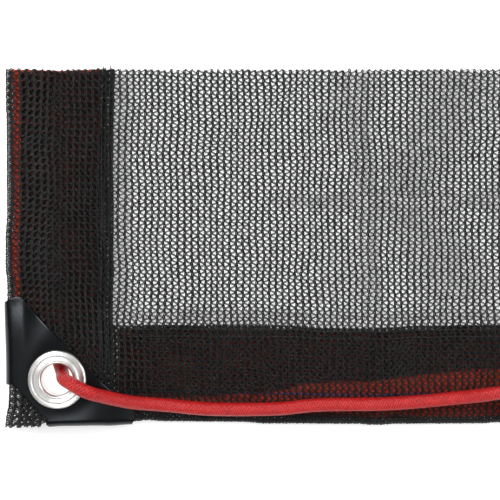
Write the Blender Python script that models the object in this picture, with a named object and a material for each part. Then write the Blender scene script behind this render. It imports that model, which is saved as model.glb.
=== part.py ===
"""Corner length of a hemmed mesh netting, lying flat with its front up.

The net is one folded cloth: its hems run back under the front layer, round a
red tape, and tuck in over it. A black patch is folded round the corner, an
eyelet goes through the whole stack, and an elastic cord comes along the hem,
dives through the eyelet and runs on beneath the left hem.

Metres, +Z up, front side up. X runs along the bottom hem and Y up the left hem.
The origin is at the bottom centre of the cloth, patch and eyelet together.
"""

import math

import bmesh
import bpy
import numpy as np
from mathutils import Vector

MM = 0.001

# Plan of the cloth
LEFT_FOLD = -121.1 * MM
BOTTOM_FOLD = -78.65 * MM
RIGHT_CUT = 122.11 * MM
TOP_CUT = 80.7 * MM
LEFT_HEM = 48.2 * MM
BOTTOM_HEM = 44.3 * MM

# Layers of a hem, from the surface up: back, tape, tucked-in edge, front
CLOTH = 1.0 * MM
TAPE = 0.5 * MM
TAPE_GAP = 0.4 * MM
TAPE_WIDTH = 39.0 * MM
TAPE_INSET = 2.9 * MM
GAP = 0.3 * MM
PLY_GAP = 0.2 * MM
BACK_Z = CLOTH / 2
TAPE_Z = CLOTH + TAPE_GAP + TAPE / 2
TUCK_Z = CLOTH + 2 * TAPE_GAP + TAPE + CLOTH / 2
FRONT_Z = TUCK_Z + CLOTH + PLY_GAP
HEM_TOP = FRONT_Z + CLOTH / 2
FOLD_R = (FRONT_Z - BACK_Z) / 2
TUCK_R = (TUCK_Z - BACK_Z) / 2
FOLD_D = FOLD_R + CLOTH / 2
HEM_SLOPE = 9.0 * MM
LEFT_PARTS = 9
BOTTOM_PARTS = 8

# Corner patch: a band across the corner, given by distances from the two folds
PATCH = 1.0 * MM
PATCH_NEAR = 18.5 * MM
PATCH_FAR = 63.8 * MM
PATCH_REACH_UP = 57.0 * MM
PATCH_REACH_RIGHT = 58.0 * MM
PATCH_GAP = 0.4 * MM
PATCH_FRONT_Z = HEM_TOP + PATCH_GAP + PATCH / 2
PATCH_BACK_Z = -PATCH_GAP - PATCH / 2
PATCH_FOLD_R = (PATCH_FRONT_Z - PATCH_BACK_Z) / 2

# Eyelet
EYELET_X = -96.5 * MM
EYELET_Y = -57.6 * MM
EYELET_HOLE_R = 6.95 * MM
EYELET_BARREL_R = 7.6 * MM
EYELET_RIM_R = 12.8 * MM
EYELET_COLLAR_R = 11.6 * MM
EYELET_COLLAR = 0.6 * MM
EYELET_CUT_R = 8.0 * MM

# How the cord beneath lifts the cloth
EYELET_LIFT = 9.7 * MM
LIFT_FLAT_R = 14.5 * MM
LIFT_END_R = 42.0 * MM
PATCH_LIFT = 1.5 * MM
PATCH_LIFT_FADE = 14.0 * MM
CORD_RIDGE = 6.6 * MM
CORD_RIDGE_X = -98.9 * MM
CORD_RIDGE_HALF = 21.0 * MM

# Creases of the panel: low ridges that its packing left
CREASE_HEIGHT = 1.5 * MM
CREASE_HALF = 9.0 * MM
CROSS_CREASE_HEIGHT = 1.1 * MM
CROSS_CREASE_Y = 21.5 * MM
CROSS_CREASE_HALF = 7.0 * MM

# Elastic cord and its end knot
CORD_R = 3.0 * MM
CORD_POINTS = 72
KNOT_CENTRE = (112.0 * MM, -63.6 * MM)
KNOT_TURNS = 2.5
KNOT_PITCH = 6.3 * MM
KNOT_COIL_R = 6.3 * MM

# Where the cloth's outer folds and the hems' inner lines stray from straight.
# Rows are (place along the edge, shift across it), both in millimetres.
BOTTOM_EDGE_WAVE = (
    (-121, -1.3), (-108, -1.2), (-95, -0.5), (-76, 0.0), (-64, 0.9), (-58, 1.6), (-50, 1.2),
    (-14, 0.9), (-5, 0.2), (36, 0.1), (43, -0.4), (54, 0.1), (92, 0.3), (99, 0.8), (123, 0.4),
)
BOTTOM_LINE_WAVE = (
    (-75, 0.2), (-40, 0.4), (8, 0.2), (22, -0.8), (50, -0.9), (62, -0.1), (95, 0.4), (123, 0.0),
)
LEFT_EDGE_WAVE = (
    (-79, -0.3), (-68, 0.3), (-16, 0.3), (-8, -0.3), (6, -0.3), (14, 0.3), (56, 0.2), (66, -0.3), (82, -0.3),
)
LEFT_LINE_WAVE = ((-79, -0.4), (-20, -0.4), (-8, 0.0), (60, 0.0), (68, 0.4), (82, 0.8))
# How far the tucked-in edge stays from the bottom fold: (x, distance) in millimetres
TUCK_EDGE = ((-75, 11.0), (-35, 11.0), (-12, 12.6), (24, 18.6), (100, 23.6), (123, 24.5))

# The cord's route from the knot to its hidden end: (x, y, z) in millimetres
CORD_ROUTE = (
    (99.4, -63.6, 14.1),
    (96.4, -63.7, 14.0),
    (91.0, -64.7, 12.7),
    (82.0, -66.1, 9.4),
    (73.0, -67.2, 8.0),
    (63.5, -68.1, 7.9),
    (50.2, -69.0, 8.5),
    (41.0, -69.3, 8.4),
    (32.4, -69.4, 7.9),
    (14.6, -69.9, 7.9),
    (3.5, -71.1, 7.9),
    (-12.0, -71.6, 7.9),
    (-23.1, -71.6, 7.9),
    (-34.2, -71.2, 7.9),
    (-47.5, -69.9, 8.0),
    (-57.2, -69.0, 9.2),
    (-64.0, -68.0, 12.2),
    (-70.0, -66.5, 15.4),
    (-75.7, -64.8, 18.7),
    (-80.5, -63.1, 22.2),
    (-85.2, -61.0, 23.7),
    (-89.7, -58.7, 22.2),
    (-93.4, -57.2, 17.0),
    (-95.3, -55.3, 8.0),
    (-97.7, -50.3, 3.6),
    (-99.5, -43.5, 3.1),
    (-98.9, -31.0, 3.1),
    (-98.9, -14.0, 3.1),
    (-98.6, 6.0, 3.1),
    (-99.2, 30.0, 3.1),
    (-98.8, 54.0, 3.1),
    (-98.9, 76.0, 3.1),
)


def clear_scene():
    for old in list(bpy.data.objects):
        bpy.data.objects.remove(old, do_unlink=True)


def make_material(name, color, roughness, metallic=0.0):
    material = bpy.data.materials.new(name)
    material.use_nodes = True
    shader = material.node_tree.nodes["Principled BSDF"]
    shader.inputs["Base Color"].default_value = (*color, 1.0)
    shader.inputs["Roughness"].default_value = roughness
    shader.inputs["Metallic"].default_value = metallic
    return material


def add_mesh_object(name, bm, material, smooth=True):
    mesh = bpy.data.meshes.new(name)
    bm.to_mesh(mesh)
    bm.free()
    thing = bpy.data.objects.new(name, mesh)
    bpy.context.collection.objects.link(thing)
    mesh.materials.append(material)
    if smooth:
        mesh.shade_smooth()
        mesh.set_sharp_from_angle(angle=math.radians(40))
    return thing


def soft_step(t):
    t = min(max(t, 0.0), 1.0)
    return t * t * (3 - 2 * t)


def read_wave(table, place):
    """A smooth reading between the rows of a table in millimetres."""
    places = [row[0] * MM for row in table]
    shifts = [row[1] * MM for row in table]
    if place <= places[0]:
        return shifts[0]
    if place >= places[-1]:
        return shifts[-1]
    k = max(i for i, p in enumerate(places) if p <= place)
    k = min(k, len(places) - 2)
    t = soft_step((place - places[k]) / (places[k + 1] - places[k]))
    return shifts[k] + t * (shifts[k + 1] - shifts[k])


def patch_depth(x, y):
    """How far a point lies outside the patch's band, 0 inside it."""
    across = (x - LEFT_FOLD) + (y - BOTTOM_FOLD)
    beyond = max(PATCH_NEAR - across, across - PATCH_FAR, 0.0) / math.sqrt(2)
    return max(beyond, x - LEFT_FOLD - PATCH_REACH_RIGHT, y - BOTTOM_FOLD - PATCH_REACH_UP)


def lift(x, y):
    """Height of the stack's underside over the surface, where the cord holds it up."""
    from_eyelet = math.hypot(x - EYELET_X, y - EYELET_Y)
    near = soft_step((LIFT_END_R - from_eyelet) / (LIFT_END_R - LIFT_FLAT_R))
    under_patch = PATCH_LIFT * soft_step(1 - patch_depth(x, y) / PATCH_LIFT_FADE)
    aside = min(abs(x - CORD_RIDGE_X) / CORD_RIDGE_HALF, 1.0)
    above_eyelet = soft_step((y - EYELET_Y + 5 * MM) / (15 * MM))
    ridge = CORD_RIDGE * math.cos(math.pi / 2 * aside) ** 2 * above_eyelet
    return EYELET_LIFT * near + (1 - near) * max(under_patch, ridge)


def low_ridge(distance, half, height):
    aside = min(abs(distance) / half, 1.0)
    return height * math.cos(math.pi / 2 * aside) ** 2


def relief(x, y):
    """Creases and waves of the panel, never below the surface it lies on."""
    crease_x = (41.5 - 0.077 * y / MM) * MM
    off_hem = soft_step((y - BOTTOM_FOLD - BOTTOM_HEM) / (12 * MM))
    crease = (0.4 + 0.6 * off_hem) * low_ridge(x - crease_x, CREASE_HALF, CREASE_HEIGHT)
    reach = soft_step((x + 12 * MM) / (50 * MM))
    cross = reach * low_ridge(y - CROSS_CREASE_Y, CROSS_CREASE_HALF, CROSS_CREASE_HEIGHT)
    rolling = soft_step((x - 8 * MM) / (40 * MM)) * soft_step((y - BOTTOM_FOLD - BOTTOM_HEM) / (20 * MM))
    wave = 0.3 * MM * rolling * (1 + math.sin(x / (9 * MM) + 1.3 * math.sin(y / (16 * MM))))
    return crease + cross + wave


def settle(x, y, z):
    """Moves a point of the flat stack to its place in the lying cloth."""
    across = min(max((y - BOTTOM_FOLD) / BOTTOM_HEM, 0.0), 1.0)
    fade = 1 - soft_step((y - BOTTOM_FOLD - BOTTOM_HEM) / (30 * MM))
    shift_y = read_wave(BOTTOM_EDGE_WAVE, x) * (1 - across) + read_wave(BOTTOM_LINE_WAVE, x) * across * fade
    along = min(max((x - LEFT_FOLD) / LEFT_HEM, 0.0), 1.0)
    fade = 1 - soft_step((x - LEFT_FOLD - LEFT_HEM) / (30 * MM))
    shift_x = read_wave(LEFT_EDGE_WAVE, y) * (1 - along) + read_wave(LEFT_LINE_WAVE, y) * along * fade
    return Vector((x + shift_x, y + shift_y, z + lift(x, y) + relief(x, y)))


def arc(centre, radius, start_deg, end_deg, steps):
    """Points of an arc in a section, as (distance from the fold, height)."""
    angles = np.radians(np.linspace(start_deg, end_deg, steps + 1))
    return [(centre[0] + radius * math.cos(a), centre[1] + radius * math.sin(a)) for a in angles]


def hem_section(width, free_end, stations):
    """One hem's layers, from the tucked-in edge to where the front layer starts."""
    inner = width - CLOTH / 2 - TUCK_R
    tucked = [free_end + (inner - free_end) * k / (len(stations) - 1) for k in range(len(stations) - 1)]
    section = [(d, TUCK_Z) for d in tucked]
    section += arc((inner, BACK_Z + TUCK_R), TUCK_R, 90, -90, 3)
    section += [(d, BACK_Z) for d in reversed(stations[1:-1])]
    section += arc((FOLD_D, BACK_Z + FOLD_R), FOLD_R, 270, 90, 6)[:-1]
    return section


def front_height(x, y):
    """The front layer lies on the hems and comes down to the surface beyond them."""
    left = 1 - soft_step((x - LEFT_FOLD - LEFT_HEM + 1.3 * MM) / HEM_SLOPE)
    bottom = 1 - soft_step((y - BOTTOM_FOLD - BOTTOM_HEM + 1.3 * MM) / HEM_SLOPE)
    on_hem = 1 - (1 - left) * (1 - bottom)
    return BACK_Z + (FRONT_Z - BACK_Z) * on_hem


def hem_stations(width, count):
    inner = width - CLOTH / 2 - TUCK_R
    return list(np.linspace(FOLD_D, inner, count + 1))


def cloth_columns():
    """Distances from the left fold at which the cloth is sampled, closest where it bends."""
    beyond = [LEFT_HEM + d * MM for d in (1.0, 3.2, 5.6, 8.5, 13.0, 18.0, 24.0, 31.0)]
    rest = list(np.linspace(beyond[-1], RIGHT_CUT - LEFT_FOLD, 15)[1:])
    return hem_stations(LEFT_HEM, LEFT_PARTS) + beyond + rest


def cloth_rows():
    """Distances from the bottom fold at which the cloth is sampled."""
    beyond = [BOTTOM_HEM + d * MM for d in (0.8, 3.2, 5.6, 8.5, 12.5, 17.0, 21.5, 26.5, 33.0)]
    rest = list(np.linspace(beyond[-1], TOP_CUT - BOTTOM_FOLD, 8)[1:])
    return hem_stations(BOTTOM_HEM, BOTTOM_PARTS) + beyond + rest


def raw_edge(x):
    """Where the cloth's bottom edge ends left of the bottom hem: longer in the open corner."""
    near_corner = 1 - soft_step((x - LEFT_FOLD - 11 * MM) / (4 * MM))
    return FOLD_D - near_corner * (FOLD_D - 0.3 * MM)


def make_netting(material):
    left_stations = hem_stations(LEFT_HEM, LEFT_PARTS)
    bottom_stations = hem_stations(BOTTOM_HEM, BOTTOM_PARTS)
    front_x = cloth_columns()
    front_y = cloth_rows()
    left_fold = hem_section(LEFT_HEM, 6.6 * MM, left_stations)
    columns = [(d, z) for d, z in left_fold] + [(d, None) for d in front_x]
    first_flap_column = len(left_fold) + len(left_stations)

    bm = bmesh.new()
    grid = []
    for d, z in columns:
        x = LEFT_FOLD + d
        line = []
        for row, dy in enumerate(front_y):
            if row == 0 and x < LEFT_FOLD + LEFT_HEM:
                dy = raw_edge(x)
            y = BOTTOM_FOLD + dy
            height = front_height(x, y) if z is None else z
            line.append(bm.verts.new(settle(x, y, height)))
        grid.append(line)
    for left, right in zip(grid[:-1], grid[1:]):
        for row in range(len(front_y) - 1):
            bm.faces.new((left[row], right[row], right[row + 1], left[row + 1]))

    flaps = []
    for k in range(first_flap_column, len(columns)):
        x = LEFT_FOLD + columns[k][0]
        free_end = read_wave(TUCK_EDGE, x)
        section = hem_section(BOTTOM_HEM, free_end, bottom_stations)
        flaps.append([bm.verts.new(settle(x, BOTTOM_FOLD + d, z)) for d, z in section] + [grid[k][0]])
    for left, right in zip(flaps[:-1], flaps[1:]):
        for row in range(len(left) - 1):
            bm.faces.new((left[row], right[row], right[row + 1], left[row + 1]))

    netting = add_mesh_object("netting", bm, material)
    give_thickness(netting, CLOTH)
    cut_eyelet_hole(netting)
    return netting


def give_thickness(thing, thickness):
    solid = thing.modifiers.new("thickness", "SOLIDIFY")
    solid.thickness = thickness
    solid.offset = 0.0
    solid.use_even_offset = True


def cut_eyelet_hole(thing):
    """Cuts the stack open for the eyelet's barrel."""
    cutter = bpy.data.objects.get("eyelet_cutter")
    if cutter is None:
        bm = bmesh.new()
        bmesh.ops.create_cone(
            bm, cap_ends=True, segments=32, radius1=EYELET_CUT_R, radius2=EYELET_CUT_R, depth=60 * MM
        )
        bmesh.ops.translate(bm, verts=bm.verts, vec=(EYELET_X, EYELET_Y, 10 * MM))
        mesh = bpy.data.meshes.new("eyelet_cutter")
        bm.to_mesh(mesh)
        bm.free()
        cutter = bpy.data.objects.new("eyelet_cutter", mesh)
        bpy.context.collection.objects.link(cutter)
        cutter.hide_render = True
        cutter.display_type = "WIRE"
    hole = thing.modifiers.new("eyelet hole", "BOOLEAN")
    hole.operation = "DIFFERENCE"
    hole.solver = "EXACT"
    hole.object = cutter


def make_strip(name, columns, rows, height, thickness, material):
    """A flat strip of the stack at one height, laid with the rest."""
    bm = bmesh.new()
    grid = [[bm.verts.new(settle(LEFT_FOLD + a, BOTTOM_FOLD + b, height)) for b in rows] for a in columns]
    for left, right in zip(grid[:-1], grid[1:]):
        for row in range(len(rows) - 1):
            bm.faces.new((left[row], right[row], right[row + 1], left[row + 1]))
    strip = add_mesh_object(name, bm, material)
    give_thickness(strip, thickness)
    return strip


def strip_stations(stations, start, end):
    """The cloth's own stations between two ends, so that a strip bends where the cloth does."""
    return [start] + [d for d in stations if start + 0.8 * MM < d < end - 0.8 * MM] + [end]


def make_tapes(material):
    tape_end = TAPE_INSET + TAPE_WIDTH
    rows = strip_stations(cloth_rows(), FOLD_D + GAP, TOP_CUT - BOTTOM_FOLD - 0.5 * MM)
    columns = strip_stations(cloth_columns(), TAPE_INSET, tape_end)
    left = make_strip("hem_tape_left", columns, rows, TAPE_Z, TAPE, material)
    cut_eyelet_hole(left)
    rows = strip_stations(cloth_rows(), TAPE_INSET, tape_end)
    columns = strip_stations(cloth_columns(), LEFT_HEM + 1.5 * MM, RIGHT_CUT - LEFT_FOLD - 0.5 * MM)
    make_strip("hem_tape_bottom", columns, rows, TAPE_Z, TAPE, material)


def patch_outline():
    """The patch's front outline with soft corners, as (from left fold, from bottom fold)."""
    far, near = PATCH_FAR, PATCH_NEAR
    out = 8 * MM
    corners = [
        (-out, near + out, 0.0),
        (near + out, -out, 0.0),
        (PATCH_REACH_RIGHT - 6 * MM, -out, 0.0),
        (PATCH_REACH_RIGHT, 3.0 * MM, 4.0 * MM),
        (PATCH_REACH_RIGHT, far - PATCH_REACH_RIGHT, 3.0 * MM),
        (far - PATCH_REACH_UP, PATCH_REACH_UP, 1.5 * MM),
        (4.5 * MM, PATCH_REACH_UP, 1.5 * MM),
        (-out, PATCH_REACH_UP - 6 * MM, 0.0),
    ]
    points = []
    for k, (a, b, radius) in enumerate(corners):
        here = Vector((a, b))
        if radius == 0:
            points.append(here)
            continue
        before = Vector(corners[k - 1][:2]) - here
        after = Vector(corners[(k + 1) % len(corners)][:2]) - here
        cut = min(radius, before.length * 0.4, after.length * 0.4)
        start = here + before.normalized() * cut
        end = here + after.normalized() * cut
        for t in (0, 0.25, 0.5, 0.75, 1):
            points.append(start * (1 - t) ** 2 + here * 2 * t * (1 - t) + end * t**2)
    return points


def make_corner_patch(material):
    bm = bmesh.new()
    centre = (FOLD_D, BACK_Z + FOLD_R)
    loops = []
    for c in np.linspace(PATCH_NEAR, PATCH_FAR, 11):
        run = c - 2 * FOLD_D
        steps = 20
        line = []
        for k in range(steps + 1):
            a = FOLD_D + run * k / steps
            line.append((a, c - a, PATCH_FRONT_Z))
        for d, z in arc(centre, PATCH_FOLD_R, 90, 270, 7)[1:-1]:
            line.append((c - FOLD_D, d, z))
        for k in range(steps, -1, -1):
            a = FOLD_D + run * k / steps
            line.append((a, c - a, PATCH_BACK_Z))
        for d, z in arc(centre, PATCH_FOLD_R, 270, 90, 7)[1:-1]:
            line.append((d, c - FOLD_D, z))
        loops.append([bm.verts.new(settle(LEFT_FOLD + a, BOTTOM_FOLD + b, z)) for a, b, z in line])
    count = len(loops[0])
    for near, far in zip(loops[:-1], loops[1:]):
        for k in range(count):
            bm.faces.new((near[k], near[(k + 1) % count], far[(k + 1) % count], far[k]))
    bmesh.ops.recalc_face_normals(bm, faces=bm.faces)
    patch = add_mesh_object("corner_patch", bm, material)
    give_thickness(patch, PATCH)

    outline = patch_outline()
    keeper_mesh = bmesh.new()
    low = [keeper_mesh.verts.new((LEFT_FOLD + p.x, BOTTOM_FOLD + p.y, -20 * MM)) for p in outline]
    face = keeper_mesh.faces.new(low)
    body = bmesh.ops.extrude_face_region(keeper_mesh, geom=[face])
    high = [v for v in body["geom"] if isinstance(v, bmesh.types.BMVert)]
    bmesh.ops.translate(keeper_mesh, verts=high, vec=(0, 0, 60 * MM))
    bmesh.ops.recalc_face_normals(keeper_mesh, faces=keeper_mesh.faces)
    mesh = bpy.data.meshes.new("patch_keeper")
    keeper_mesh.to_mesh(mesh)
    keeper_mesh.free()
    keeper = bpy.data.objects.new("patch_keeper", mesh)
    bpy.context.collection.objects.link(keeper)
    keeper.hide_render = True
    keeper.display_type = "WIRE"
    trim = patch.modifiers.new("outline", "BOOLEAN")
    trim.operation = "INTERSECT"
    trim.solver = "EXACT"
    trim.object = keeper
    cut_eyelet_hole(patch)


def make_eyelet(material):
    """A turned eyelet: rolled front rim, barrel and a flat collar behind."""
    base = EYELET_LIFT + PATCH_FRONT_Z + PATCH / 2 + GAP
    low = EYELET_LIFT + PATCH_BACK_Z - PATCH / 2 - GAP - EYELET_COLLAR
    profile = [
        (EYELET_HOLE_R, low),
        (EYELET_HOLE_R, base - 0.4 * MM),
        (EYELET_HOLE_R + 0.1 * MM, base + 0.3 * MM),
        (EYELET_HOLE_R + 0.5 * MM, base + 0.85 * MM),
        (EYELET_HOLE_R + 1.3 * MM, base + 1.1 * MM),
        (EYELET_HOLE_R + 2.0 * MM, base + 1.0 * MM),
        (9.5 * MM, base + 0.8 * MM),
        (11.1 * MM, base + 0.8 * MM),
        (11.6 * MM, base + 0.95 * MM),
        (12.1 * MM, base + 0.9 * MM),
        (12.6 * MM, base + 0.55 * MM),
        (EYELET_RIM_R, base + 0.1 * MM),
        (EYELET_RIM_R - 0.1 * MM, base),
        (EYELET_BARREL_R, base),
        (EYELET_BARREL_R, low + EYELET_COLLAR),
        (EYELET_COLLAR_R, low + EYELET_COLLAR),
        (EYELET_COLLAR_R, low + 0.1 * MM),
        (EYELET_COLLAR_R - 0.1 * MM, low),
    ]
    bm = bmesh.new()
    verts = [bm.verts.new((r, 0, z)) for r, z in profile]
    edges = [bm.edges.new((verts[k], verts[(k + 1) % len(verts)])) for k in range(len(verts))]
    bmesh.ops.spin(
        bm, geom=verts + edges, cent=(0, 0, 0), axis=(0, 0, 1), angle=2 * math.pi, steps=30, use_merge=True
    )
    bmesh.ops.remove_doubles(bm, verts=bm.verts, dist=1e-6)
    bmesh.ops.recalc_face_normals(bm, faces=bm.faces)
    eyelet = add_mesh_object("eyelet", bm, material)
    eyelet.location = (EYELET_X, EYELET_Y, 0)


def smooth_curve(points, count):
    """Evenly spaced points of a natural cubic spline through a route, in metres."""
    p = np.array(points) * MM
    steps = np.sqrt(np.linalg.norm(np.diff(p, axis=0), axis=1))
    knots = np.concatenate(([0.0], np.cumsum(steps)))
    size = len(p)
    matrix = np.zeros((size, size))
    right = np.zeros((size, 3))
    matrix[0, 0] = matrix[-1, -1] = 1.0
    for i in range(1, size - 1):
        matrix[i, i - 1 : i + 2] = (steps[i - 1], 2 * (steps[i - 1] + steps[i]), steps[i])
        right[i] = 6 * ((p[i + 1] - p[i]) / steps[i] - (p[i] - p[i - 1]) / steps[i - 1])
    bends = np.linalg.solve(matrix, right)
    fine = []
    for k in range(size - 1):
        h = steps[k]
        for t in np.linspace(0, h, 60, endpoint=False):
            a = h - t
            curve = (bends[k] * a**3 + bends[k + 1] * t**3) / (6 * h)
            line = (p[k] / h - bends[k] * h / 6) * a + (p[k + 1] / h - bends[k + 1] * h / 6) * t
            fine.append(curve + line)
    fine = np.array(fine + [p[-1]])
    lengths = np.concatenate(([0.0], np.cumsum(np.linalg.norm(np.diff(fine, axis=0), axis=1))))
    even = np.linspace(0, lengths[-1], count)
    return np.stack([np.interp(even, lengths, fine[:, i]) for i in range(3)], axis=1)


def make_tube(name, points, radius, material):
    """A round cord as a bevelled curve with closed ends."""
    curve = bpy.data.curves.new(name, "CURVE")
    curve.dimensions = "3D"
    curve.bevel_depth = radius
    curve.bevel_resolution = 2
    curve.use_fill_caps = True
    spline = curve.splines.new("POLY")
    spline.points.add(len(points) - 1)
    for target, point in zip(spline.points, points):
        target.co = (*point, 1.0)
    curve.materials.append(material)
    tube = bpy.data.objects.new(name, curve)
    bpy.context.collection.objects.link(tube)
    return tube


def knot_path():
    """A stopper knot: the cord runs through the middle and winds back round itself."""
    length = KNOT_TURNS * KNOT_PITCH
    x0 = KNOT_CENTRE[0] - length / 2
    x1 = KNOT_CENTRE[0] + length / 2
    axis_y = KNOT_CENTRE[1]
    axis_z = HEM_TOP + GAP + CORD_R + KNOT_COIL_R
    points = [(x, axis_y, axis_z) for x in np.linspace(x0 - 4.0 * MM, x1, 6)]
    out_steps = 9
    for k in range(1, out_steps + 1):
        t = k / out_steps
        angle = math.radians(-90 + 200 * t)
        radius = KNOT_COIL_R * soft_step(t * 1.05)
        x = x1 + 4.6 * MM * math.sin(math.pi * t) * (1 - 0.25 * t) + 1.2 * MM * (1 - t)
        points.append((x, axis_y + radius * math.cos(angle), axis_z + radius * math.sin(angle)))
    turn_steps = 30
    for k in range(1, turn_steps + 1):
        t = k / turn_steps
        angle = math.radians(110 + 360 * (KNOT_TURNS - 0.55) * t)
        x = x1 - (KNOT_TURNS - 0.55) * KNOT_PITCH * t
        points.append((x, axis_y + KNOT_COIL_R * math.cos(angle), axis_z + KNOT_COIL_R * math.sin(angle)))
    return points


def make_cord(material):
    points = smooth_curve(CORD_ROUTE, CORD_POINTS)
    make_tube("elastic_cord", points, CORD_R, material)
    make_tube("cord_knot", knot_path(), CORD_R, material)


def main():
    clear_scene()
    net_black = make_material("net_black", (0.012, 0.012, 0.013), 0.6)
    tape_red = make_material("tape_red", (0.62, 0.03, 0.02), 0.7)
    patch_black = make_material("patch_black", (0.01, 0.01, 0.012), 0.35)
    eyelet_metal = make_material("eyelet_metal", (0.8, 0.79, 0.78), 0.25, 1.0)
    cord_red = make_material("cord_red", (0.66, 0.03, 0.03), 0.5)
    make_netting(net_black)
    make_tapes(tape_red)
    make_corner_patch(patch_black)
    make_eyelet(eyelet_metal)
    make_cord(cord_red)


main()
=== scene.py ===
# %% [markdown]
# The corner of a cover net, laid flat and seen from straight above. The real thing is one black
# warp-knitted cloth with wide hems. A red tape lies in each hem, a black patch is folded round the
# corner, an eyelet goes through the whole stack, and an elastic cord dives through the eyelet.
# The solids come from the CAD file in the same frame, in metres, so nothing here is fitted by eye.

# %% Load the solids
import math

import bmesh
import bpy
import numpy as np
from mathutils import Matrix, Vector


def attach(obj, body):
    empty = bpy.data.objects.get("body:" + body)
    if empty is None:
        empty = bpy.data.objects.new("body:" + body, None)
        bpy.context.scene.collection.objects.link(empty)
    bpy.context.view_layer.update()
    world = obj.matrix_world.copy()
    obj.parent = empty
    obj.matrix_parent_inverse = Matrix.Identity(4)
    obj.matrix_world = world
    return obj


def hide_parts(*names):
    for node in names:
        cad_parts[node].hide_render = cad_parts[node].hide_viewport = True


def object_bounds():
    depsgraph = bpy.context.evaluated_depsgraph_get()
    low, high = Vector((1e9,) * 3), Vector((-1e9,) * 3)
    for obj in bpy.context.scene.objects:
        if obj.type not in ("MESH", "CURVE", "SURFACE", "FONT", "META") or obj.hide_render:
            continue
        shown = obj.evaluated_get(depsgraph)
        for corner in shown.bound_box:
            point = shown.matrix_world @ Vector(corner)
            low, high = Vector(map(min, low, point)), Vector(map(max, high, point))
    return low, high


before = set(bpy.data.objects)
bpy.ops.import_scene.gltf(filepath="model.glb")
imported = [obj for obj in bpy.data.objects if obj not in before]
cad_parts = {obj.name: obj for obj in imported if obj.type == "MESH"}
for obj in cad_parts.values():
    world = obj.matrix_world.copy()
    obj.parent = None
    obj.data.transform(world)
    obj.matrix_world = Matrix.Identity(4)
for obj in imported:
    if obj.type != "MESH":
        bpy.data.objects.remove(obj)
solid_box = [list(corner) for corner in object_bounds()]
MM = 0.001
print("solids:", sorted(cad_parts))

# %% [markdown]
# A camera that looks straight down shows a flat thing without any slant. The further away it
# stands, the less the raised eyelet leans outwards, so its distance is a choice, and its lens
# follows from the width that the picture has to show.

# %% Camera
CAMERA_FOOT = (-0.012, -0.0008)
CAMERA_HEIGHT = 0.6
VIEW_WIDTH = 0.225
camera_data = bpy.data.cameras.new("camera")
camera_data.sensor_width = 36.0
camera_data.lens = 36.0 * CAMERA_HEIGHT / VIEW_WIDTH
camera_data.clip_start = 0.05
camera_data.clip_end = 5.0
camera = bpy.data.objects.new("camera", camera_data)
camera.location = (*CAMERA_FOOT, CAMERA_HEIGHT)
bpy.context.collection.objects.link(camera)
bpy.context.scene.camera = camera
bpy.context.scene.view_settings.view_transform = "Standard"
print("lens", round(camera_data.lens, 1), "mm")

# %% [markdown]
# Node trees are easier to read as sums than as boxes and wires. The same two classes serve
# materials and Geometry Nodes.

# %% Sums on sockets
class Value:
    """One number, colour or vector that a node gives."""

    def __init__(self, kit, socket):
        self.kit = kit
        self.socket = socket

    def maths(self, operation, first, second=None):
        made = self.kit.node("ShaderNodeMath", {"operation": operation}, {0: first})
        if second is not None:
            self.kit.feed(made, 1, second)
        return Value(self.kit, made.outputs[0])

    def __add__(self, other):
        return self.maths("ADD", self, other)

    def __radd__(self, other):
        return self.maths("ADD", other, self)

    def __sub__(self, other):
        return self.maths("SUBTRACT", self, other)

    def __rsub__(self, other):
        return self.maths("SUBTRACT", other, self)

    def __mul__(self, other):
        return self.maths("MULTIPLY", self, other)

    def __rmul__(self, other):
        return self.maths("MULTIPLY", other, self)

    def __truediv__(self, other):
        return self.maths("DIVIDE", self, other)

    def __pow__(self, other):
        return self.maths("POWER", self, other)

    def __gt__(self, other):
        return self.maths("GREATER_THAN", self, other)

    def __lt__(self, other):
        return self.maths("LESS_THAN", self, other)

    def sin(self):
        return self.maths("SINE", self)

    def size(self):
        return self.maths("ABSOLUTE", self)

    def floor(self):
        return self.maths("FLOOR", self)


class Kit:
    """Adds nodes to one tree and joins them."""

    def __init__(self, tree):
        self.tree = tree

    def feed(self, node, key, value):
        socket = node.inputs[key]
        if isinstance(value, Value):
            self.tree.links.new(value.socket, socket)
        else:
            socket.default_value = value

    def node(self, kind, settings=None, values=None):
        made = self.tree.nodes.new(kind)
        for name, value in (settings or {}).items():
            if name == "stops":
                ramp = made.color_ramp
                while len(ramp.elements) < len(value):
                    ramp.elements.new(0.5)
                for stop, (place, colour) in zip(ramp.elements, value):
                    stop.position = place
                    stop.color = (*colour, 1.0)
            else:
                setattr(made, name, value)
        for key, value in (values or {}).items():
            self.feed(made, key, value)
        return made

    def get(self, kind, settings=None, values=None, output=0):
        return Value(self, self.node(kind, settings, values).outputs[output])

    def vector(self, operation, first, second):
        return self.get("ShaderNodeVectorMath", {"operation": operation}, {0: first, 1: second})

    def parts(self, vector):
        split = self.node("ShaderNodeSeparateXYZ", None, {0: vector})
        return [Value(self, split.outputs[k]) for k in range(3)]

    def join(self, x, y, z=0.0):
        return self.get("ShaderNodeCombineXYZ", None, {0: x, 1: y, 2: z})


# %% [markdown]
# A finish is a Principled shader whose colour, roughness and bump change over the surface. Numbers
# that are the same everywhere are set on the shader itself.

# %% Helper for finishes
def new_finish(name, **fixed):
    """An empty finish: its node kit and its shader, with the fixed numbers set."""
    material = bpy.data.materials.new(name)
    material.use_nodes = True
    kit = Kit(material.node_tree)
    shader = material.node_tree.nodes["Principled BSDF"]
    for key, value in fixed.items():
        shader.inputs[key.replace("_", " ")].default_value = value
    return material, kit, shader


def noise(kit, place, scale, detail=2.0, roughness=0.5, output="Fac"):
    return kit.get(
        "ShaderNodeTexNoise",
        None,
        {"Vector": place, "Scale": scale, "Detail": detail, "Roughness": roughness},
        output,
    )


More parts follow.
